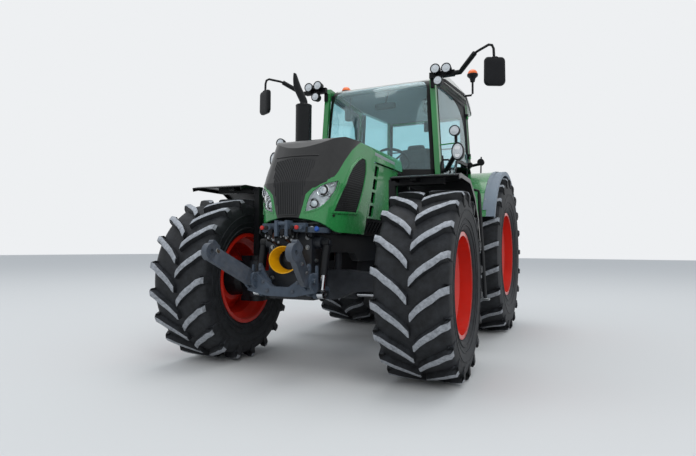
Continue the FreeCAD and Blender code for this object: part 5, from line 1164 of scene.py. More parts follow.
def stuffed(pad: bpy.types.Object, cap: float, voxel: float = 0.009, frames: int = 20) -> None:
    """Lets a sewn cover swell over its foam in a short cloth simulation, and gives the pad the result as mesh.

    Args:
        pad: The pad, whose mesh is a closed form a little smaller than the real one.
        cap: How far a point of the cover may move, in metres.
        voxel: Size of the cloth's cells in metres.
        frames: Length of the simulation.
    """
    scene = bpy.context.scene
    cover = bpy.data.objects.new(pad.name + "_cover", pad.data.copy())
    scene.collection.objects.link(cover)
    cells = cover.modifiers.new("cells", "REMESH")
    cells.mode = "VOXEL"
    cells.voxel_size = voxel
    cells.use_smooth_shade = True
    cover.data = settled_mesh(cover)
    cover.modifiers.clear()
    cloth = cover.modifiers.new("cloth", "CLOTH")
    cloth.settings.use_pressure = True
    cloth.settings.uniform_pressure_force = 4.0
    cloth.settings.effector_weights.gravity = 0.0
    cloth.point_cache.frame_start = 1
    cloth.point_cache.frame_end = frames
    for frame in range(1, frames + 1):
        scene.frame_set(frame)
    swollen = cover.evaluated_get(bpy.context.evaluated_depsgraph_get()).data
    moved = [point.co.copy() for point in swollen.vertices]
    cover.modifiers.clear()
    for point, target in zip(cover.data.vertices, moved):
        step = target - point.co
        point.co = point.co + step * min(1.0, cap / max(step.length, 1e-9))
    cover.modifiers.new("round", "SUBSURF").levels = 1
    mesh = settled_mesh(cover)
    scene.frame_set(1)
    mesh.materials.clear()
    mesh.materials.append(pad.data.materials[0])
    mesh.polygons.foreach_set("material_index", [0] * len(mesh.polygons))
    mesh.polygons.foreach_set("use_smooth", [True] * len(mesh.polygons))
    pad.data = mesh
    bpy.data.objects.remove(cover)
    LOG.info("%s: stuffed, %d faces", pad.name, len(mesh.polygons))


@dataclass
class CabInside:
    """Padded seat, wheel hub, screens and levers inside the cab."""

    floor_z: float = 1.290
    back_lean: float = 82.0
    rim_radius: float = 0.190
    rim_tube: Pair = (0.015, 0.017)

    def build(self) -> None:
        """Makes the soft seat and the driver's controls."""
        self._seat()
        self._wheel()
        self._controls()

    def _pad(self, name: str, size: Point, place: Matrix, crown: float, channels: int) -> bpy.types.Object:
        """Crowned cushion with rolled edges and sewn channels across it.

        Args:
            name: Name of the piece.
            size: Width, length and thickness.
            place: Its local axes: X across, Y along, Z through the pad.
            crown: How far the bolsters stand up.
            channels: Number of sewn channels.

        Returns:
            The object.
        """
        piece = Piece(name)
        width, length, thick = size
        columns, lines = 22, 30
        rows = []
        for i in range(lines + 1):
            v = i / lines
            row = []
            for j in range(columns + 1):
                u = j / columns
                edge = min(1.0, 7.0 * min(u, 1 - u)) ** 0.5 * min(1.0, 8.0 * min(v, 1 - v)) ** 0.5
                beyond, aside = abs(2 * v - 1), abs(2 * u - 1)
                seam = 1.0 - 0.16 * math.exp(-((v * channels) % 1.0 - 0.5) ** 2 / 0.004) if channels else 1.0
                bolster = crown * math.exp(-((aside - 0.74) / 0.17) ** 2) * math.sin(math.pi * v) ** 0.5
                height = thick * (0.35 + 0.65 * edge * seam) + bolster
                row.append(Vector((width * (u - 0.5) * (1 - 0.08 * beyond ** 8),
                                   length * (v - 0.5) * (1 - 0.07 * aside ** 8), height)))
            rows.append(row)
        under = [[Vector((x, y, 0.0)) for x, y, _z in row] for row in rows]
        over, below = ([[place @ point for point in row] for row in sheet] for sheet in (rows, under))
        piece.grid(over, SEAT_CLOTH)
        piece.grid([self._rim(below), self._rim(over)], SEAT_CLOTH, closed=True)
        piece.grid(below[::-1], SEAT_CLOTH)
        return piece.finish("chassis", "seat_cloth", ["seat"], smooth=50)

    @staticmethod
    def _rim(rows: Sequence[Sequence[Vector]]) -> List[Vector]:
        """Points round the edge of a sheet of rows."""
        return [*rows[0], *(row[-1] for row in rows[1:]), *rows[-1][-2::-1],
                *(row[0] for row in rows[-2:0:-1])]

    def _seat(self) -> None:
        """Cushion, backrest and headrest."""
        z = self.floor_z + 0.260
        lean = rotated("X", self.back_lean)
        low, middle, high = stand(0, -0.500, z), stand(0, -0.165, z + 0.455), stand(0, -0.120, z + 0.745)
        cushion = self._pad("seat_cushion", (0.480, 0.500, 0.100), low, 0.030, 3)
        back = self._pad("seat_back", (0.460, 0.630, 0.090), middle @ lean, 0.030, 4)
        head = self._pad("seat_headrest", (0.230, 0.110, 0.070), high @ lean, 0.010, 0)
        for pad, fill, cap in ((cushion, 0.7, 0.012), (back, 0.7, 0.012), (head, 0.8, 0.006)):
            stuffed(pad, cap)
            self._piping(pad)
        piece = Piece("seat_shell")
        place = stand(0, -0.150, z + 0.44) @ lean
        piece.block((0.430, 0.600, 0.024), place @ shift(0, 0, -0.010), BLACK_MOULDING, 0.010)
        piece.block((0.060, 0.16, 0.018), stand(0, -0.105, z + 0.72) @ lean, BLACK_STEEL, 0.004)
        piece.finish("chassis", "black_plastic")

    @staticmethod
    def _piping(pad: bpy.types.Object) -> None:
        """Sewn cord along the seam round a pad, found by rays from outside towards its middle."""
        corners = [point.co for point in pad.data.vertices]
        tree = BVHTree.FromPolygons(corners, [tuple(face.vertices) for face in pad.data.polygons])
        low, high = (Vector(pick(c[i] for c in corners) for i in range(3)) for pick in (min, max))
        middle, lying = (low + high) / 2, high.y - low.y > high.z - low.z
        loop = []
        for angle in angles(72):
            along, aside = math.cos(angle), math.sin(angle)
            away = Vector((along, aside, 0.0) if lying else (along, 0.0, aside))
            hit = tree.ray_cast(middle + away, -away)
            if hit[0] is not None:
                loop.append(hit[0] + away * 0.0015)
        piece = Piece(pad.name + "_piping")
        piece.tube(loop + loop[:1], 0.0038, SEAL_RUBBER, 6)
        piece.finish("chassis", "seat_cloth")

    def _wheel(self) -> None:
        """Thick moulded steering rim on three spokes, with its hub cover."""
        piece = Piece("steering_rim")
        place = stand(0, -1.024, 2.024) @ rotated("X", -33)
        radius, (wide, deep) = self.rim_radius, self.rim_tube
        section = [(radius + wide * math.cos(b), deep * math.sin(b)) for b in angles(12)]
        rows = [[place @ Vector((out * math.cos(a), out * math.sin(a), rise)) for out, rise in section]
                for a in angles(48)]
        piece.grid(rows + rows[:1], SEAL_RUBBER, closed=True)
        for degrees in (90, 215, 325):
            a = math.radians(degrees)
            spoke = [place @ Vector((out * math.cos(a), out * math.sin(a), rise))
                     for out, rise in ((0.05, -0.022), (0.13, -0.014), (0.186, 0.0))]
            piece.tube(spoke, 0.011, BLACK_MOULDING, 8)
        piece.turned([(0.030, -0.050), (0.058, -0.036), (0.066, -0.010), (0.052, 0.004), (0.020, 0.009),
                      (TIP, 0.010)], place, BLACK_MOULDING, 28)
        piece.turned([(0.012, 0.0), (0.012, 0.020), (0.020, 0.030), (0.014, 0.044), (TIP, 0.046)],
                     place @ shift(-0.155, 0.100, 0.012), SEAL_RUBBER, 16)
        piece.tube([place @ Vector((0, 0, z)) for z in (-0.045, -0.230)], 0.036, BLACK_MOULDING, 16)
        piece.finish("chassis", "black_plastic", ["steering_wheel"])

    def _controls(self) -> None:
        """Instrument screen, side terminal, levers and the interior mirror."""
        piece = Piece("driver_controls")
        screen = stand(0, -1.235, 1.842) @ rotated("X", -35)
        piece.block((0.230, 0.020, 0.110), screen, BLACK_MOULDING, 0.008)
        monitor = stand(0.500, -1.235, 2.330) @ rotated("Z", -12)
        piece.block((0.130, 0.034, 0.110), monitor, BLACK_MOULDING, 0.010)
        piece.block((0.110, 0.004, 0.085), monitor @ shift(0, 0.018, 0), DARK_BEZEL, 0.001)
        piece.tube([at(0.560, -1.270, 2.300), at(0.600, -1.330, 2.260)], 0.012, BLACK_STEEL)
        terminal = stand(-0.350, -0.830, 1.815) @ rotated("X", -25)
        piece.block((0.200, 0.026, 0.130), terminal, BLACK_MOULDING, 0.010)
        piece.block((0.176, 0.004, 0.106), terminal @ shift(0, 0.014, 0), DARK_BEZEL, 0.001)
        for x, y, height in ((-0.345, -0.80, 0.10), (-0.385, -0.72, 0.07), (-0.330, -0.66, 0.06)):
            piece.tube([at(x, y, 1.80), at(x, y - 0.012, 1.80 + height)], 0.011, BLACK_STEEL)
            piece.turned([(0.006, 0.0), (0.021, 0.010), (0.024, 0.030), (0.014, 0.048), (TIP, 0.052)],
                         aimed(at(x, y - 0.012, 1.80 + height - 0.01), (0, -0.1, 1)), SEAL_RUBBER, 16)
        piece.block((0.250, 0.030, 0.070), stand(0.0, -1.28, 2.60), BLACK_MOULDING, 0.012)
        piece.tube([at(0.0, -1.27, 2.63), at(0.0, -1.20, 2.775)], 0.008, BLACK_STEEL)
        for x in (-0.47, 0.47):
            piece.block((0.080, 0.070, 0.150), stand(x, -1.24, 2.56), BLACK_MOULDING, 0.012)
            piece.tube([at(x, -1.23, 2.60), at(x, -1.18, 2.775)], 0.010, BLACK_STEEL)
        piece.finish("chassis", "black_plastic")


@dataclass
class Lamps:
    """Lenses of the work lights, the arm lamps and the tail lamps, the beacons and the mirrors' glass."""

    roof_z: float = 2.790
    beacon_top: float = 3.045
    work_lenses: Tuple[Point, ...] = ((0.676, 0.030, 0.052), (0.790, 0.022, 0.052), (0.704, -0.094, 0.050))
    arm_lamps: Dict[Side, Tuple[Pair, Pair]] = field(default_factory=lambda: {
        Side.LEFT: ((0.934, 1.935), (0.902, 2.142)), Side.RIGHT: ((-1.150, 1.990), (-1.082, 2.180))})

    def build(self) -> None:
        """Makes every lamp's front and the mirrors."""
        for side in Side:
            self._work(side)
            self._arm_lamps(side)
            self._tail(side)
            self._mirror(side)
            self._fender_lamp(side)
        self._beacons()

    def _work(self, side: Side) -> None:
        """Three round lenses of one cluster."""
        piece = Piece(f"work_lenses_{side.word}")
        for x, rise, radius in self.work_lenses:
            place = aimed(at(side.value * x, -1.640, self.roof_z + rise), AHEAD)
            disc_lamp(piece, place, radius * 0.96, BLACK_MOULDING, LAMP_HOUSING)
        piece.finish("chassis", "clear_lens")

    def _arm_lamps(self, side: Side) -> None:
        """Oval road lamp and the flasher above it."""
        (big_x, big_z), (small_x, small_z) = self.arm_lamps[side]
        piece = Piece(f"arm_lamp_lenses_{side.word}")
        oval = aimed(at(big_x, -1.770, big_z), AHEAD) @ Matrix.Diagonal((0.85, 1.25, 1.0, 1.0))
        disc_lamp(piece, oval, 0.070, BLACK_MOULDING, LAMP_HOUSING)
        for dz, r in ((0.032, 0.030), (-0.036, 0.026)):
            piece.turned([(r, 0.0), (r * 0.95, 0.004), (r * 0.6, 0.001), (r * 0.3, 0.003), (TIP, 0.0035)],
                         aimed(at(big_x, -1.776, big_z + dz), AHEAD), REFLECTOR, 24)
        disc_lamp(piece, aimed(at(small_x, -1.760, small_z), AHEAD), 0.052, BLACK_MOULDING, LAMP_HOUSING)
        piece.finish("chassis", "clear_lens")

    def _tail(self, side: Side) -> None:
        """Fields of the rear lamp cluster: orange, red and clear."""
        piece = Piece(f"tail_fields_{side.word}")
        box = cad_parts["tail_lamps"]
        rear = max((box.matrix_world @ v.co).y for v in box.data.vertices)
        for x, width, finish in ((0.985, 0.095, ORANGE_ACRYLIC), (0.900, 0.060, RED_ACRYLIC),
                                 (0.815, 0.090, LAMP_HOUSING)):
            piece.block((width, 0.008, 0.090), shift(side.value * x, rear + 0.002, 1.555), finish, 0.003)
        piece.finish("chassis", "red_lens")

    def _mirror(self, side: Side) -> None:
        """Arms, rounded housing and silvered glass of one mirror."""
        s = side.value
        piece = Piece(f"mirror_{side.word}")
        z = self.roof_z - 0.015
        arm = ((0.8603, -1.562, 0.0), (0.915, -1.562, 0.0), (0.945, -1.585, 0.022), (1.090, -1.710, 0.115))
        bow = ((1.075, -1.700, 0.108), (1.120, -1.722, 0.125), (1.235, -1.772, 0.152),
               (1.266, -1.778, 0.140), (1.280, -1.775, 0.105), (1.286, -1.772, -0.05))
        for path, radius, segments in ((arm, 0.025, 14), (bow, 0.0125, 10)):
            piece.tube([at(s * x, y, z + rise) for x, y, rise in path], radius, BLACK_STEEL, segments)
        turn = stand(s * 1.2885, -1.770, 2.664) @ rotated("Z", s * 27)
        outline = []
        for cx, cz, start, radius in ((0.060, 0.098, 0, 0.038), (-0.060, 0.098, 90, 0.038),
                                      (-0.054, -0.090, 180, 0.046), (0.054, -0.090, 270, 0.046)):
            for a in (math.radians(start + 15 * k) for k in range(7)):
                outline.append((cx + radius * math.cos(a), cz + radius * math.sin(a)))
        shell = ((-0.024, 0.55), (-0.023, 0.78), (-0.017, 0.93), (-0.004, 1.0), (0.016, 1.0), (0.022, 0.97),
                 (0.022, 0.93), (0.018, 0.92))
        rows = [[turn @ Vector((u * share, depth, v * share)) for u, v in outline] for depth, share in shell]
        piece.grid(rows, BLACK_MOULDING, closed=True, capped=True)
        glass = [[turn @ Vector((u * 0.915, depth, v * 0.925)) for u, v in outline]
                 for depth in (0.0180, 0.0192)]
        piece.grid(glass, MIRROR_GLASS, closed=True, capped=True)
        piece.block((0.060, 0.030, 0.046), turn @ shift(0, -0.004, 0.118), BLACK_STEEL, 0.008)
        piece.finish("chassis", "black_plastic", ["mirrors"])

    def _fender_lamp(self, side: Side) -> None:
        """Bracket with a pair of small lamps on the front of the rear fender."""
        s = side.value
        piece = Piece(f"fender_lamp_{side.word}")
        piece.tube([at(s * 0.78, -0.640, 1.745), at(s * 0.79, -0.700, 1.900), at(s * 0.85, -0.720, 1.955)],
                   0.011, BLACK_STEEL)
        piece.tube([at(s * 0.80, -0.705, 1.945), at(s * 0.975, -0.735, 1.970)], 0.016, BLACK_STEEL)
        for x, z, r in ((0.955, 1.985, 0.040), (0.835, 1.960, 0.030)):
            piece.turned([(r * 0.55, -0.060), (r * 0.9, -0.045), (r, 0.0), (r * 0.9, 0.004), (TIP, 0.006)],
                         aimed(at(s * x, -0.745, z), AHEAD), BLACK_MOULDING, 20)
        piece.tube([at(s * 0.955, -0.735, 1.86), at(s * 0.960, -0.735, 2.045)], 0.008, BLACK_STEEL)
        piece.finish("chassis", "black_plastic")

    def _beacons(self) -> None:
        """Poles, black bases and orange domes in place of the plain ones."""
        piece = Piece("beacon_pair")
        for side in Side:
            s, y = side.value, -0.560
            piece.tube([at(s * 0.715, y, 2.821), at(s * 0.815, y, 2.821), at(s * 0.830, y, 2.838),
                        at(s * 0.830, y, self.beacon_top)], 0.0125, BLACK_STEEL, 12)
            piece.block((0.040, 0.034, 0.024), stand(s * 0.720, y, 2.828), ZINC, 0.004)
            base = aimed(at(s * 0.830, y, self.beacon_top - 0.020), UP)
            piece.turned([(0.015, -0.05), (0.026, -0.045), (0.034, -0.005), (0.058, 0.018), (0.064, 0.028),
                          (0.064, 0.046), (0.056, 0.046)], base, BLACK_MOULDING, 28)
            dome = [(0.0595 * math.cos(a), 0.046 + 0.059 * math.sin(a)) for a in
                    (math.radians(9 * k) for k in range(10))]
            piece.turned(dome + [(TIP, 0.1055)], base, ORANGE_ACRYLIC, 28)
        piece.finish("chassis", "orange_lens", ["beacons"])


@dataclass
class Fittings:
    """Steps' grips, tank caps, wheel bolts and the parts on the back of the machine."""

    flare_radius: float = REAR_TYRE_R + 0.076
    treads: Tuple[Point, ...] = ((0.905, 1.060, 0.480), (0.870, 1.035, 0.730), (0.800, 1.000, 0.980))
    cap_ridge: Tuple[Pair, ...] = (
        (0.036, 0.0), (0.041, 0.004), (0.041, 0.034), (0.036, 0.040), (TIP, 0.041))
    rear_y: float = 0.340

    def build(self) -> None:
        """Makes all the fittings."""
        for side in Side:
            self._flare_lip(side)
            self._steps(side)
            self._wheel_bolts(side)
        self._caps()
        self._rear()

    def _flare_lip(self, side: Side) -> None:
        """Inner turn of the flare over the green fender, with its row of rivets."""
        s = side.value
        piece = Piece(f"flare_lip_{side.word}")
        skin = Skin("rear_fenders", "fender_flares")
        rows = []
        rivets = []
        for k in range(65):
            a = math.radians(28.5 + 127.0 * k / 64)
            out = Vector((0.0, -math.cos(a), math.sin(a)))
            row = []
            for x, rise in ((0.998, 0.0008), (1.002, 0.006), (1.036, 0.006), (1.046, 0.006)):
                hit = skin.touch(Vector(at(s * x, 0.0, REAR_TYRE_R)) + out * (self.flare_radius + 0.2), -out)
                if hit:
                    row.append(hit[0] + out * rise)
            if len(row) == 4:
                rows.append(row[::s])
                if k % 8 == 4:
                    rivets.append(aimed(row[1 if s > 0 else 2] + Vector((s * 0.014, 0, 0)), out))
        piece.grid(rows, GREY_MOULDING)
        for place in rivets:
            piece.turned([(0.009, -0.001), (0.009, 0.003), (0.005, 0.005)], place, ZINC, 12)
        piece.finish("chassis", "grey_plastic")

    def _steps(self, side: Side) -> None:
        """Toothed edges on the treads and the rail beside them."""
        s = side.value
        piece = Piece(f"step_grips_{side.word}")
        for x0, x1, z in self.treads:
            for y in (-1.585, -1.235):
                for k in range(7):
                    x = x0 + 0.012 + (x1 - x0 - 0.024) * k / 6
                    piece.block((0.012, 0.022, 0.010), stand(s * x, y, z + 0.029), ZINC, 0.002)
            piece.block((0.006, 0.350, 0.024), stand(s * (x1 - 0.001), -1.410, z + 0.013), ZINC, 0.002)
        for y in (-1.262, -1.292):
            piece.tube([at(s * 1.098, y, 0.486), at(s * 1.040, y, 1.560)], 0.016, BLACK_STEEL, 8)
        piece.block((0.110, 0.072, 0.022), stand(s * 1.085, -1.277, 0.486), ZINC, 0.004)
        for z in (0.745, 1.000, 1.225):
            x = 1.098 - 0.058 * (z - 0.486) / 1.074
            piece.block((x - 0.93, 0.020, 0.030), stand(s * (x + 0.93) / 2, -1.262, z), BLACK_STEEL, 0.004)
        grip = ((1.040, -1.262, 1.560), (1.030, -1.262, 1.600), (0.985, -1.250, 1.615))
        piece.tube([at(s * x, y, z) for x, y, z in grip], 0.014, BLACK_STEEL, 8)
        piece.finish("chassis", "bright_steel")

    def _wheel_bolts(self, side: Side) -> None:
        """Nuts round both hubs of one side."""
        for word, track, steered, axle_z, ring, radius in (
                ("rear", REAR_TRACK, False, REAR_TYRE_R, 0.150, 0.019),
                ("front", FRONT_TRACK, True, FRONT_TYRE_R, 0.125, 0.015)):
            skin = Skin(f"{word}_rim_{side.word}")
            centre = Vector(wheel_centre(side, track / 2, steered, axle_z))
            turn = Matrix.Rotation(STEER_REST if steered else 0.0, 4, "Z")
            piece = Piece(f"{word}_wheel_nuts_{side.word}")
            out = turn @ Vector((side.value, 0, 0))
            places = []
            for a in angles(10):
                spot = centre + turn @ Vector((0, ring * math.cos(a), ring * math.sin(a)))
                hit = skin.touch(spot + out * 0.6, -out)
                if hit:
                    places.append(aimed(hit[0], out))
            hex_bolts(piece, places, radius, 0.022, ZINC)
            piece.finish(f"{word}_wheel_{side.word}", "bright_steel")

    def _caps(self) -> None:
        """Blue and black caps on the tanks, and bands round the silencer."""
        piece = Piece("tank_caps")
        piece.turned(self.cap_ridge, aimed(at(0.860, -1.110, 1.484), UP), BLUE_MOULDING, 24)
        piece.turned([(r * 1.5, h) for r, h in self.cap_ridge], aimed(at(0.560, -1.500, 1.126), UP),
                     BLACK_MOULDING, 24)
        piece.finish("chassis", "black_plastic")
        collar = Piece("silencer_collar")
        for z in (1.470, 2.488):
            collar.turned([(0.0815, -0.014), (0.0855, -0.010), (0.0855, 0.010), (0.0815, 0.014)],
                          aimed(at(-0.640, -2.000, z), UP), BLACK_STEEL, 32)
        collar.finish("chassis", "black_steel")

    def _rear(self) -> None:
        """Row of couplings and the plate's bare place at the back."""
        piece = Piece("rear_fittings")
        for k in range(6):
            place = aimed(at(-0.20 + 0.08 * k, self.rear_y + 0.02, 1.255), BACK)
            piece.turned([(0.021, -0.02), (0.021, 0.030), (0.018, 0.034)], place, ZINC, 18)
            piece.turned([(0.023, 0.028), (0.023, 0.046), (0.018, 0.050), (TIP, 0.051)], place,
                         RED_MOULDING if k % 2 else BLUE_MOULDING, 18)
        piece.block((0.520, 0.040, 0.060), stand(0, self.rear_y + 0.01, 1.255), BLACK_STEEL, 0.006)
        piece.block((0.340, 0.004, 0.120), stand(0, self.rear_y + 0.004, 1.420), BADGE_FOIL, 0.002)
        piece.finish("chassis", "black_plastic")


@dataclass
class TreadTyre:
    """Farm drive tyre: a carcass and two rows of curved lugs that meet in a herringbone.

    Lengths are in metres.  body is the wheel's CAD body, node the plainer tyre that it stands for.
    """

    node: str
    body: str
    centre: Point
    turn: float
    radius: float
    width: float
    flange_radius: float
    rim_width: float
    lugs: int
    segments: int
    lug_height: float = 0.046
    lug_width: float = 0.050
    shoulder_station: int = 6
    shoulder_drops: Pair = (0.034, 0.115)

    def tread_radius(self, x: float) -> float:
        """Radius of the tread's floor at a distance x from the middle: nearly flat, then round a shoulder."""
        half = self.width / 2
        crown = self.radius - self.lug_height
        return crown - 0.05 * abs(x) ** 2 - 0.040 * max(0.0, (abs(x) - half * 0.72) / (half * 0.28)) ** 2

    def carcass_profile(self) -> List[Pair]:
        """Profile as pairs of distance from the middle and radius, from bead to crown to bead."""
        half, rim = self.width / 2, self.rim_width / 2
        wall = self.radius - self.flange_radius
        f = self.flange_radius
        side = [(rim - 0.019, f - 0.018), (rim - 0.017, f + 0.004), (rim + 0.004, f + 0.014),
                (rim + 0.016, f + 0.030), (half - 0.018, f + wall * 0.28), (half - 0.005, f + wall * 0.44),
                (half - 0.004, f + wall * 0.58), (half - 0.012, f + wall * 0.72)]
        floor = [(x, self.tread_radius(x)) for x in (half * 0.93, half * 0.80, half * 0.6, half * 0.3, 0.0)]
        right = side + floor
        return [(-x, r) for x, r in right] + [(x, r) for x, r in reversed(right[:-1])]

    def build(self) -> None:
        """Makes the tyre in place of the plainer solid."""
        piece = Piece(self.node + "_tread")
        self._revolve(piece, self.carcass_profile())
        pitch = 2 * math.pi / self.lugs
        for row, hand in enumerate((1, -1)):
            for k in range(self.lugs):
                self._lug(piece, hand, pitch * (k + 0.5 * row) - math.pi / 2)
        self._bead_rings(piece)
        piece.finish(self.body, "tyre", [self.node], smooth=38)

    def _around(self, x: float, radius: float, angle: float) -> Vector:
        """Point on the tyre: x runs along the axle, angle 0 faces ahead and grows upwards."""
        place = Matrix.Translation(Vector(self.centre)) @ Matrix.Rotation(self.turn, 4, "Z")
        return place @ Vector((x, -radius * math.cos(angle), radius * math.sin(angle)))

    def _revolve(self, piece: Piece, profile: Sequence[Pair]) -> None:
        """Skin of a profile, given as distance from the middle and radius, that runs round the wheel."""
        rows = [[self._around(x, r, angle) for x, r in profile] for angle in angles(self.segments)]
        piece.grid(rows + rows[:1], TYRE_RUBBER)

    def _lug(self, piece: Piece, hand: int, start: float) -> None:
        """One lug: from just past the middle out over the shoulder and down the wall.

        Args:
            piece: The mesh to add to.
            hand: 1 for the row on the driver's left, -1 for the other.
            start: Angle of its inner end.
        """
        half = self.width / 2
        stations = [(0.006, -0.010), (0.014, 0.0), (0.060, 0.052), (0.108, 0.092), (0.165, 0.130),
                    (half - 0.060, 0.170), (half - 0.016, 0.188), (half - 0.002, 0.193),
                    (half - 0.003, 0.196)]
        shoulder = self.shoulder_station
        rows = []
        for i, (x, run) in enumerate(stations):
            angle = start + run / self.radius
            before, after = stations[max(i - 1, 0)], stations[min(i + 1, len(stations) - 1)]
            slope = math.atan2(after[1] - before[1], max(after[0] - before[0], 0.012))
            top_half = self.lug_width / 2 / max(math.cos(slope), 0.80) * (0.80 if i == 0 else 0.92)
            base_half = top_half + 0.011
            if i <= shoulder:
                top = self.radius - 0.05 * x ** 2 - (0.004 if i == shoulder else 0.0)
                floor = min(self.tread_radius(x), top - 0.02) - 0.006
                foot_x = x
            else:
                top = self.radius - self.shoulder_drops[i - shoulder - 1]
                floor = top - 0.002
                foot_x = x - 0.040
            if i == 0:
                top -= 0.006
            edge = [(foot_x, floor, base_half), (x, top - 0.012, top_half + 0.003),
                    (x, top - 0.003, top_half), (x, top, top_half - 0.009)]
            ring = [self._around(hand * px, pr, angle + sign * offset / self.radius)
                    for sign, line in ((-1, edge), (1, edge[::-1])) for px, pr, offset in line]
            rows.append(ring[::hand])
        first_face = len(piece.faces)
        piece.grid(rows, TYRE_RUBBER, closed=True, capped=True)
        worn = piece.mark(WORN_LUG)
        for i in range(shoulder + 1):
            for j in (2, 3, 4):
                piece.marks[first_face + i * len(rows[0]) + j] = worn

    def _bead_rings(self, piece: Piece) -> None:
        """Moulded ribs on both walls, near the rim and below the shoulder."""
        wall = self.radius - self.flange_radius
        for hand in (1, -1):
            for share, out in ((0.16, 0.012), (0.30, 0.004), (0.52, 0.003)):
                radius = self.flange_radius + wall * share
                wall_x = self._wall_x(radius) + out * 0.5
                self._revolve(piece, [(hand * (wall_x + aside), radius + rise) for aside, rise in (
                    (-0.006, -0.007), (0.002, -0.003), (0.002, 0.003), (-0.006, 0.007))])

    def _wall_x(self, radius: float) -> float:
        """Distance from the middle to the side wall at that radius."""
        profile = sorted((p for p in self.carcass_profile() if p[0] > 0), key=lambda p: p[1])
        for (x0, r0), (x1, r1) in zip(profile, profile[1:]):
            if r0 <= radius <= r1:
                return x0 + (x1 - x0) * (radius - r0) / max(r1 - r0, 1e-6)
        return profile[-1][0]


def wheel_centre(side: Side, x: float, turned: bool, z: float) -> Point:
    """Middle of a wheel at rest.

    Args:
        side: Side of the machine.
        x: Distance of the wheel's middle from the centre line when it points straight ahead.
        turned: Whether it is a steered wheel, which stands turned at rest.
        z: Height of the axle.

    Returns:
        Its place in the frame.
    """
    if not turned:
        return (side.value * x, REAR_AXLE_Y, z)
    arm = x - KINGPIN_X
    return (side.value * (KINGPIN_X + arm * math.cos(STEER_REST)),
            FRONT_AXLE_Y + side.value * arm * math.sin(STEER_REST), z)


def make_tyres() -> None:
    """Makes the four tyres, each with its own size of tread and rim."""
    for side in Side:
        for word, centre, turn, sizes in (
                ("front", wheel_centre(side, FRONT_TRACK / 2, True, FRONT_TYRE_R), STEER_REST,
                 (FRONT_TYRE_R, 0.548, 0.405, 0.462, 19, 120)),
                ("rear", wheel_centre(side, REAR_TRACK / 2, False, REAR_TYRE_R), 0.0,
                 (REAR_TYRE_R, 0.650, 0.507, 0.550, 21, 144))):
            TreadTyre(f"{word}_tyre_{side.word}", f"{word}_wheel_{side.word}", centre, turn, *sizes).build()


def dress_nodes() -> None:
    """Gives every CAD solid its finish."""
    for name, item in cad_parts.items():
        material = NODE_FINISH[name].build()
        for slot in item.material_slots:
            slot.link = "OBJECT"
            slot.material = material
    LOG.info("finishes on %d solids", len(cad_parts))


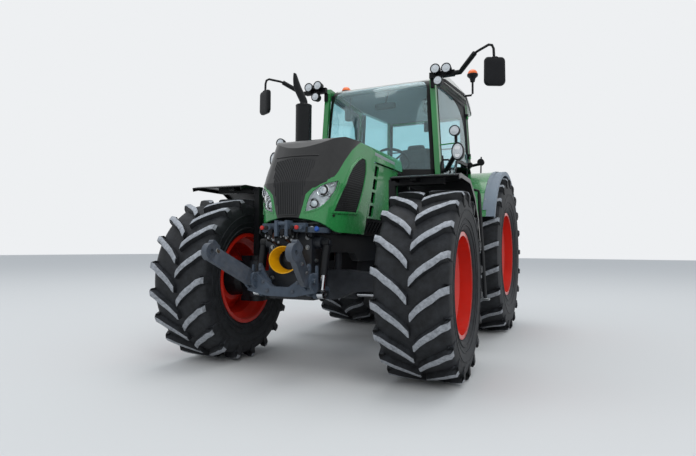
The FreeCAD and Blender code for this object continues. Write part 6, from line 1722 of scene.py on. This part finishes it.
@dataclass(frozen=True)
class Studio:
    """Pale floor and backdrop, soft daylight, and the camera of the photograph."""

    azimuth: float = 25.36
    pitch: float = 2.65
    roll: float = 0.37
    lens: float = 27.08
    eye: Point = (2.113, -6.738, 0.991)
    lens_shift: Pair = (0.0022, -0.005)
    floor_reach: float = 60.0
    aim: Point = (0.0, 0.0, 1.2)
    lamps: Tuple[Tuple[str, Point, float, float, bool], ...] = (
        ("key", (12.0, -14.0, 14.0), 10.0, 1280, False), ("fill", (-14.0, -10.0, 9.0), 10.0, 430, False),
        ("top", (0.0, 2.0, 17.0), 12.0, 820, True))

    def build(self) -> None:
        """Makes the floor, the light and the camera."""
        self._floor()
        self._world()
        self._lamps()
        self._camera()

    def _floor(self) -> None:
        """Pale concrete floor, large enough for every view."""
        mesh = bpy.data.meshes.new("floor")
        r = self.floor_reach
        mesh.from_pydata([(-r, -r, 0), (r, -r, 0), (r, r, 0), (-r, r, 0)], [], [(0, 1, 2, 3)])
        floor = bpy.data.objects.new("floor", mesh)
        bpy.context.scene.collection.objects.link(floor)
        mesh.materials.append(STUDIO_FLOOR.build())

    def _world(self) -> None:
        """Soft sky for the light, and the plain backdrop that the camera, metal and glass see."""
        world = bpy.data.worlds.new("soft daylight")
        bpy.context.scene.world = world
        world.use_nodes = True
        tree = world.node_tree
        tree.nodes.clear()
        path = add(tree, "ShaderNodeLightPath")
        up = add(tree, "ShaderNodeSeparateXYZ", None,
                 {"Vector": add(tree, "ShaderNodeTexCoord").outputs["Generated"]})
        sky = add(tree, "ShaderNodeMapRange",
                  {"From Min": -0.1, "From Max": 0.9, "To Min": 0.45, "To Max": 1.0}, {"Value": up.outputs["Z"]})
        light = add(tree, "ShaderNodeBackground", {"Color": linear("#e3ebf5")}, {"Strength": sky.outputs[0]})
        seen = add(tree, "ShaderNodeBackground", {"Color": linear("#eef0f2"), "Strength": 1.0})
        clear = add(tree, "ShaderNodeMath", {"operation": "MAXIMUM"},
                    {0: path.outputs["Is Camera Ray"], 1: path.outputs["Is Transmission Ray"]})
        shown = add(tree, "ShaderNodeMath", {"operation": "MAXIMUM"},
                    {0: clear.outputs[0], 1: path.outputs["Is Glossy Ray"]})
        mix = add(tree, "ShaderNodeMixShader", None, {0: shown.outputs[0], 1: light.outputs[0],
                                                      2: seen.outputs[0]})
        add(tree, "ShaderNodeOutputWorld", None, {"Surface": mix.outputs[0]})

    def _lamps(self) -> None:
        """Three wide area lamps: key, weak fill and one overhead, which alone shows in gloss."""
        for name, place, size, power, glossy in self.lamps:
            data = bpy.data.lights.new(name, "AREA")
            data.energy = power
            data.size = size
            lamp = bpy.data.objects.new(name, data)
            lamp.visible_glossy = glossy
            lamp.location = place
            lamp.rotation_mode = "QUATERNION"
            lamp.rotation_quaternion = (Vector(self.aim) - Vector(place)).to_track_quat("-Z", "Y")
            bpy.context.scene.collection.objects.link(lamp)

    def _camera(self) -> None:
        """Camera at the photograph's angle."""
        data = bpy.data.cameras.new("camera")
        data.sensor_width = 36.0
        data.lens = self.lens
        data.shift_x, data.shift_y = self.lens_shift
        camera = bpy.data.objects.new("camera", data)
        a, p, r = (math.radians(v) for v in (self.azimuth, self.pitch, self.roll))
        ahead = Vector((-math.sin(a) * math.cos(p), math.cos(a) * math.cos(p), math.sin(p)))
        level = Vector((math.cos(a), math.sin(a), 0.0))
        upright = level.cross(ahead)
        right = math.cos(r) * level + math.sin(r) * upright
        up = -math.sin(r) * level + math.cos(r) * upright
        camera.matrix_world = stand(*self.eye) @ Matrix((right, up, -ahead)).transposed().to_4x4()
        bpy.context.scene.collection.objects.link(camera)
        bpy.context.scene.camera = camera


def main() -> None:
    """Builds everything in order."""
    logging.basicConfig(level=logging.INFO, format="%(message)s")
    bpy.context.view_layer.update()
    dress_nodes()
    make_tyres()
    for assembly in (Bonnet(), EngineBay(), FrontLinkage(), Windscreen(), CabTrim(), CabInside(), Lamps(),
                     Fittings(), Studio()):
        assembly.build()
        LOG.info("%s done", type(assembly).__name__)
    bpy.context.scene.view_settings.view_transform = "Standard"


if __name__ == "__main__":
    main()
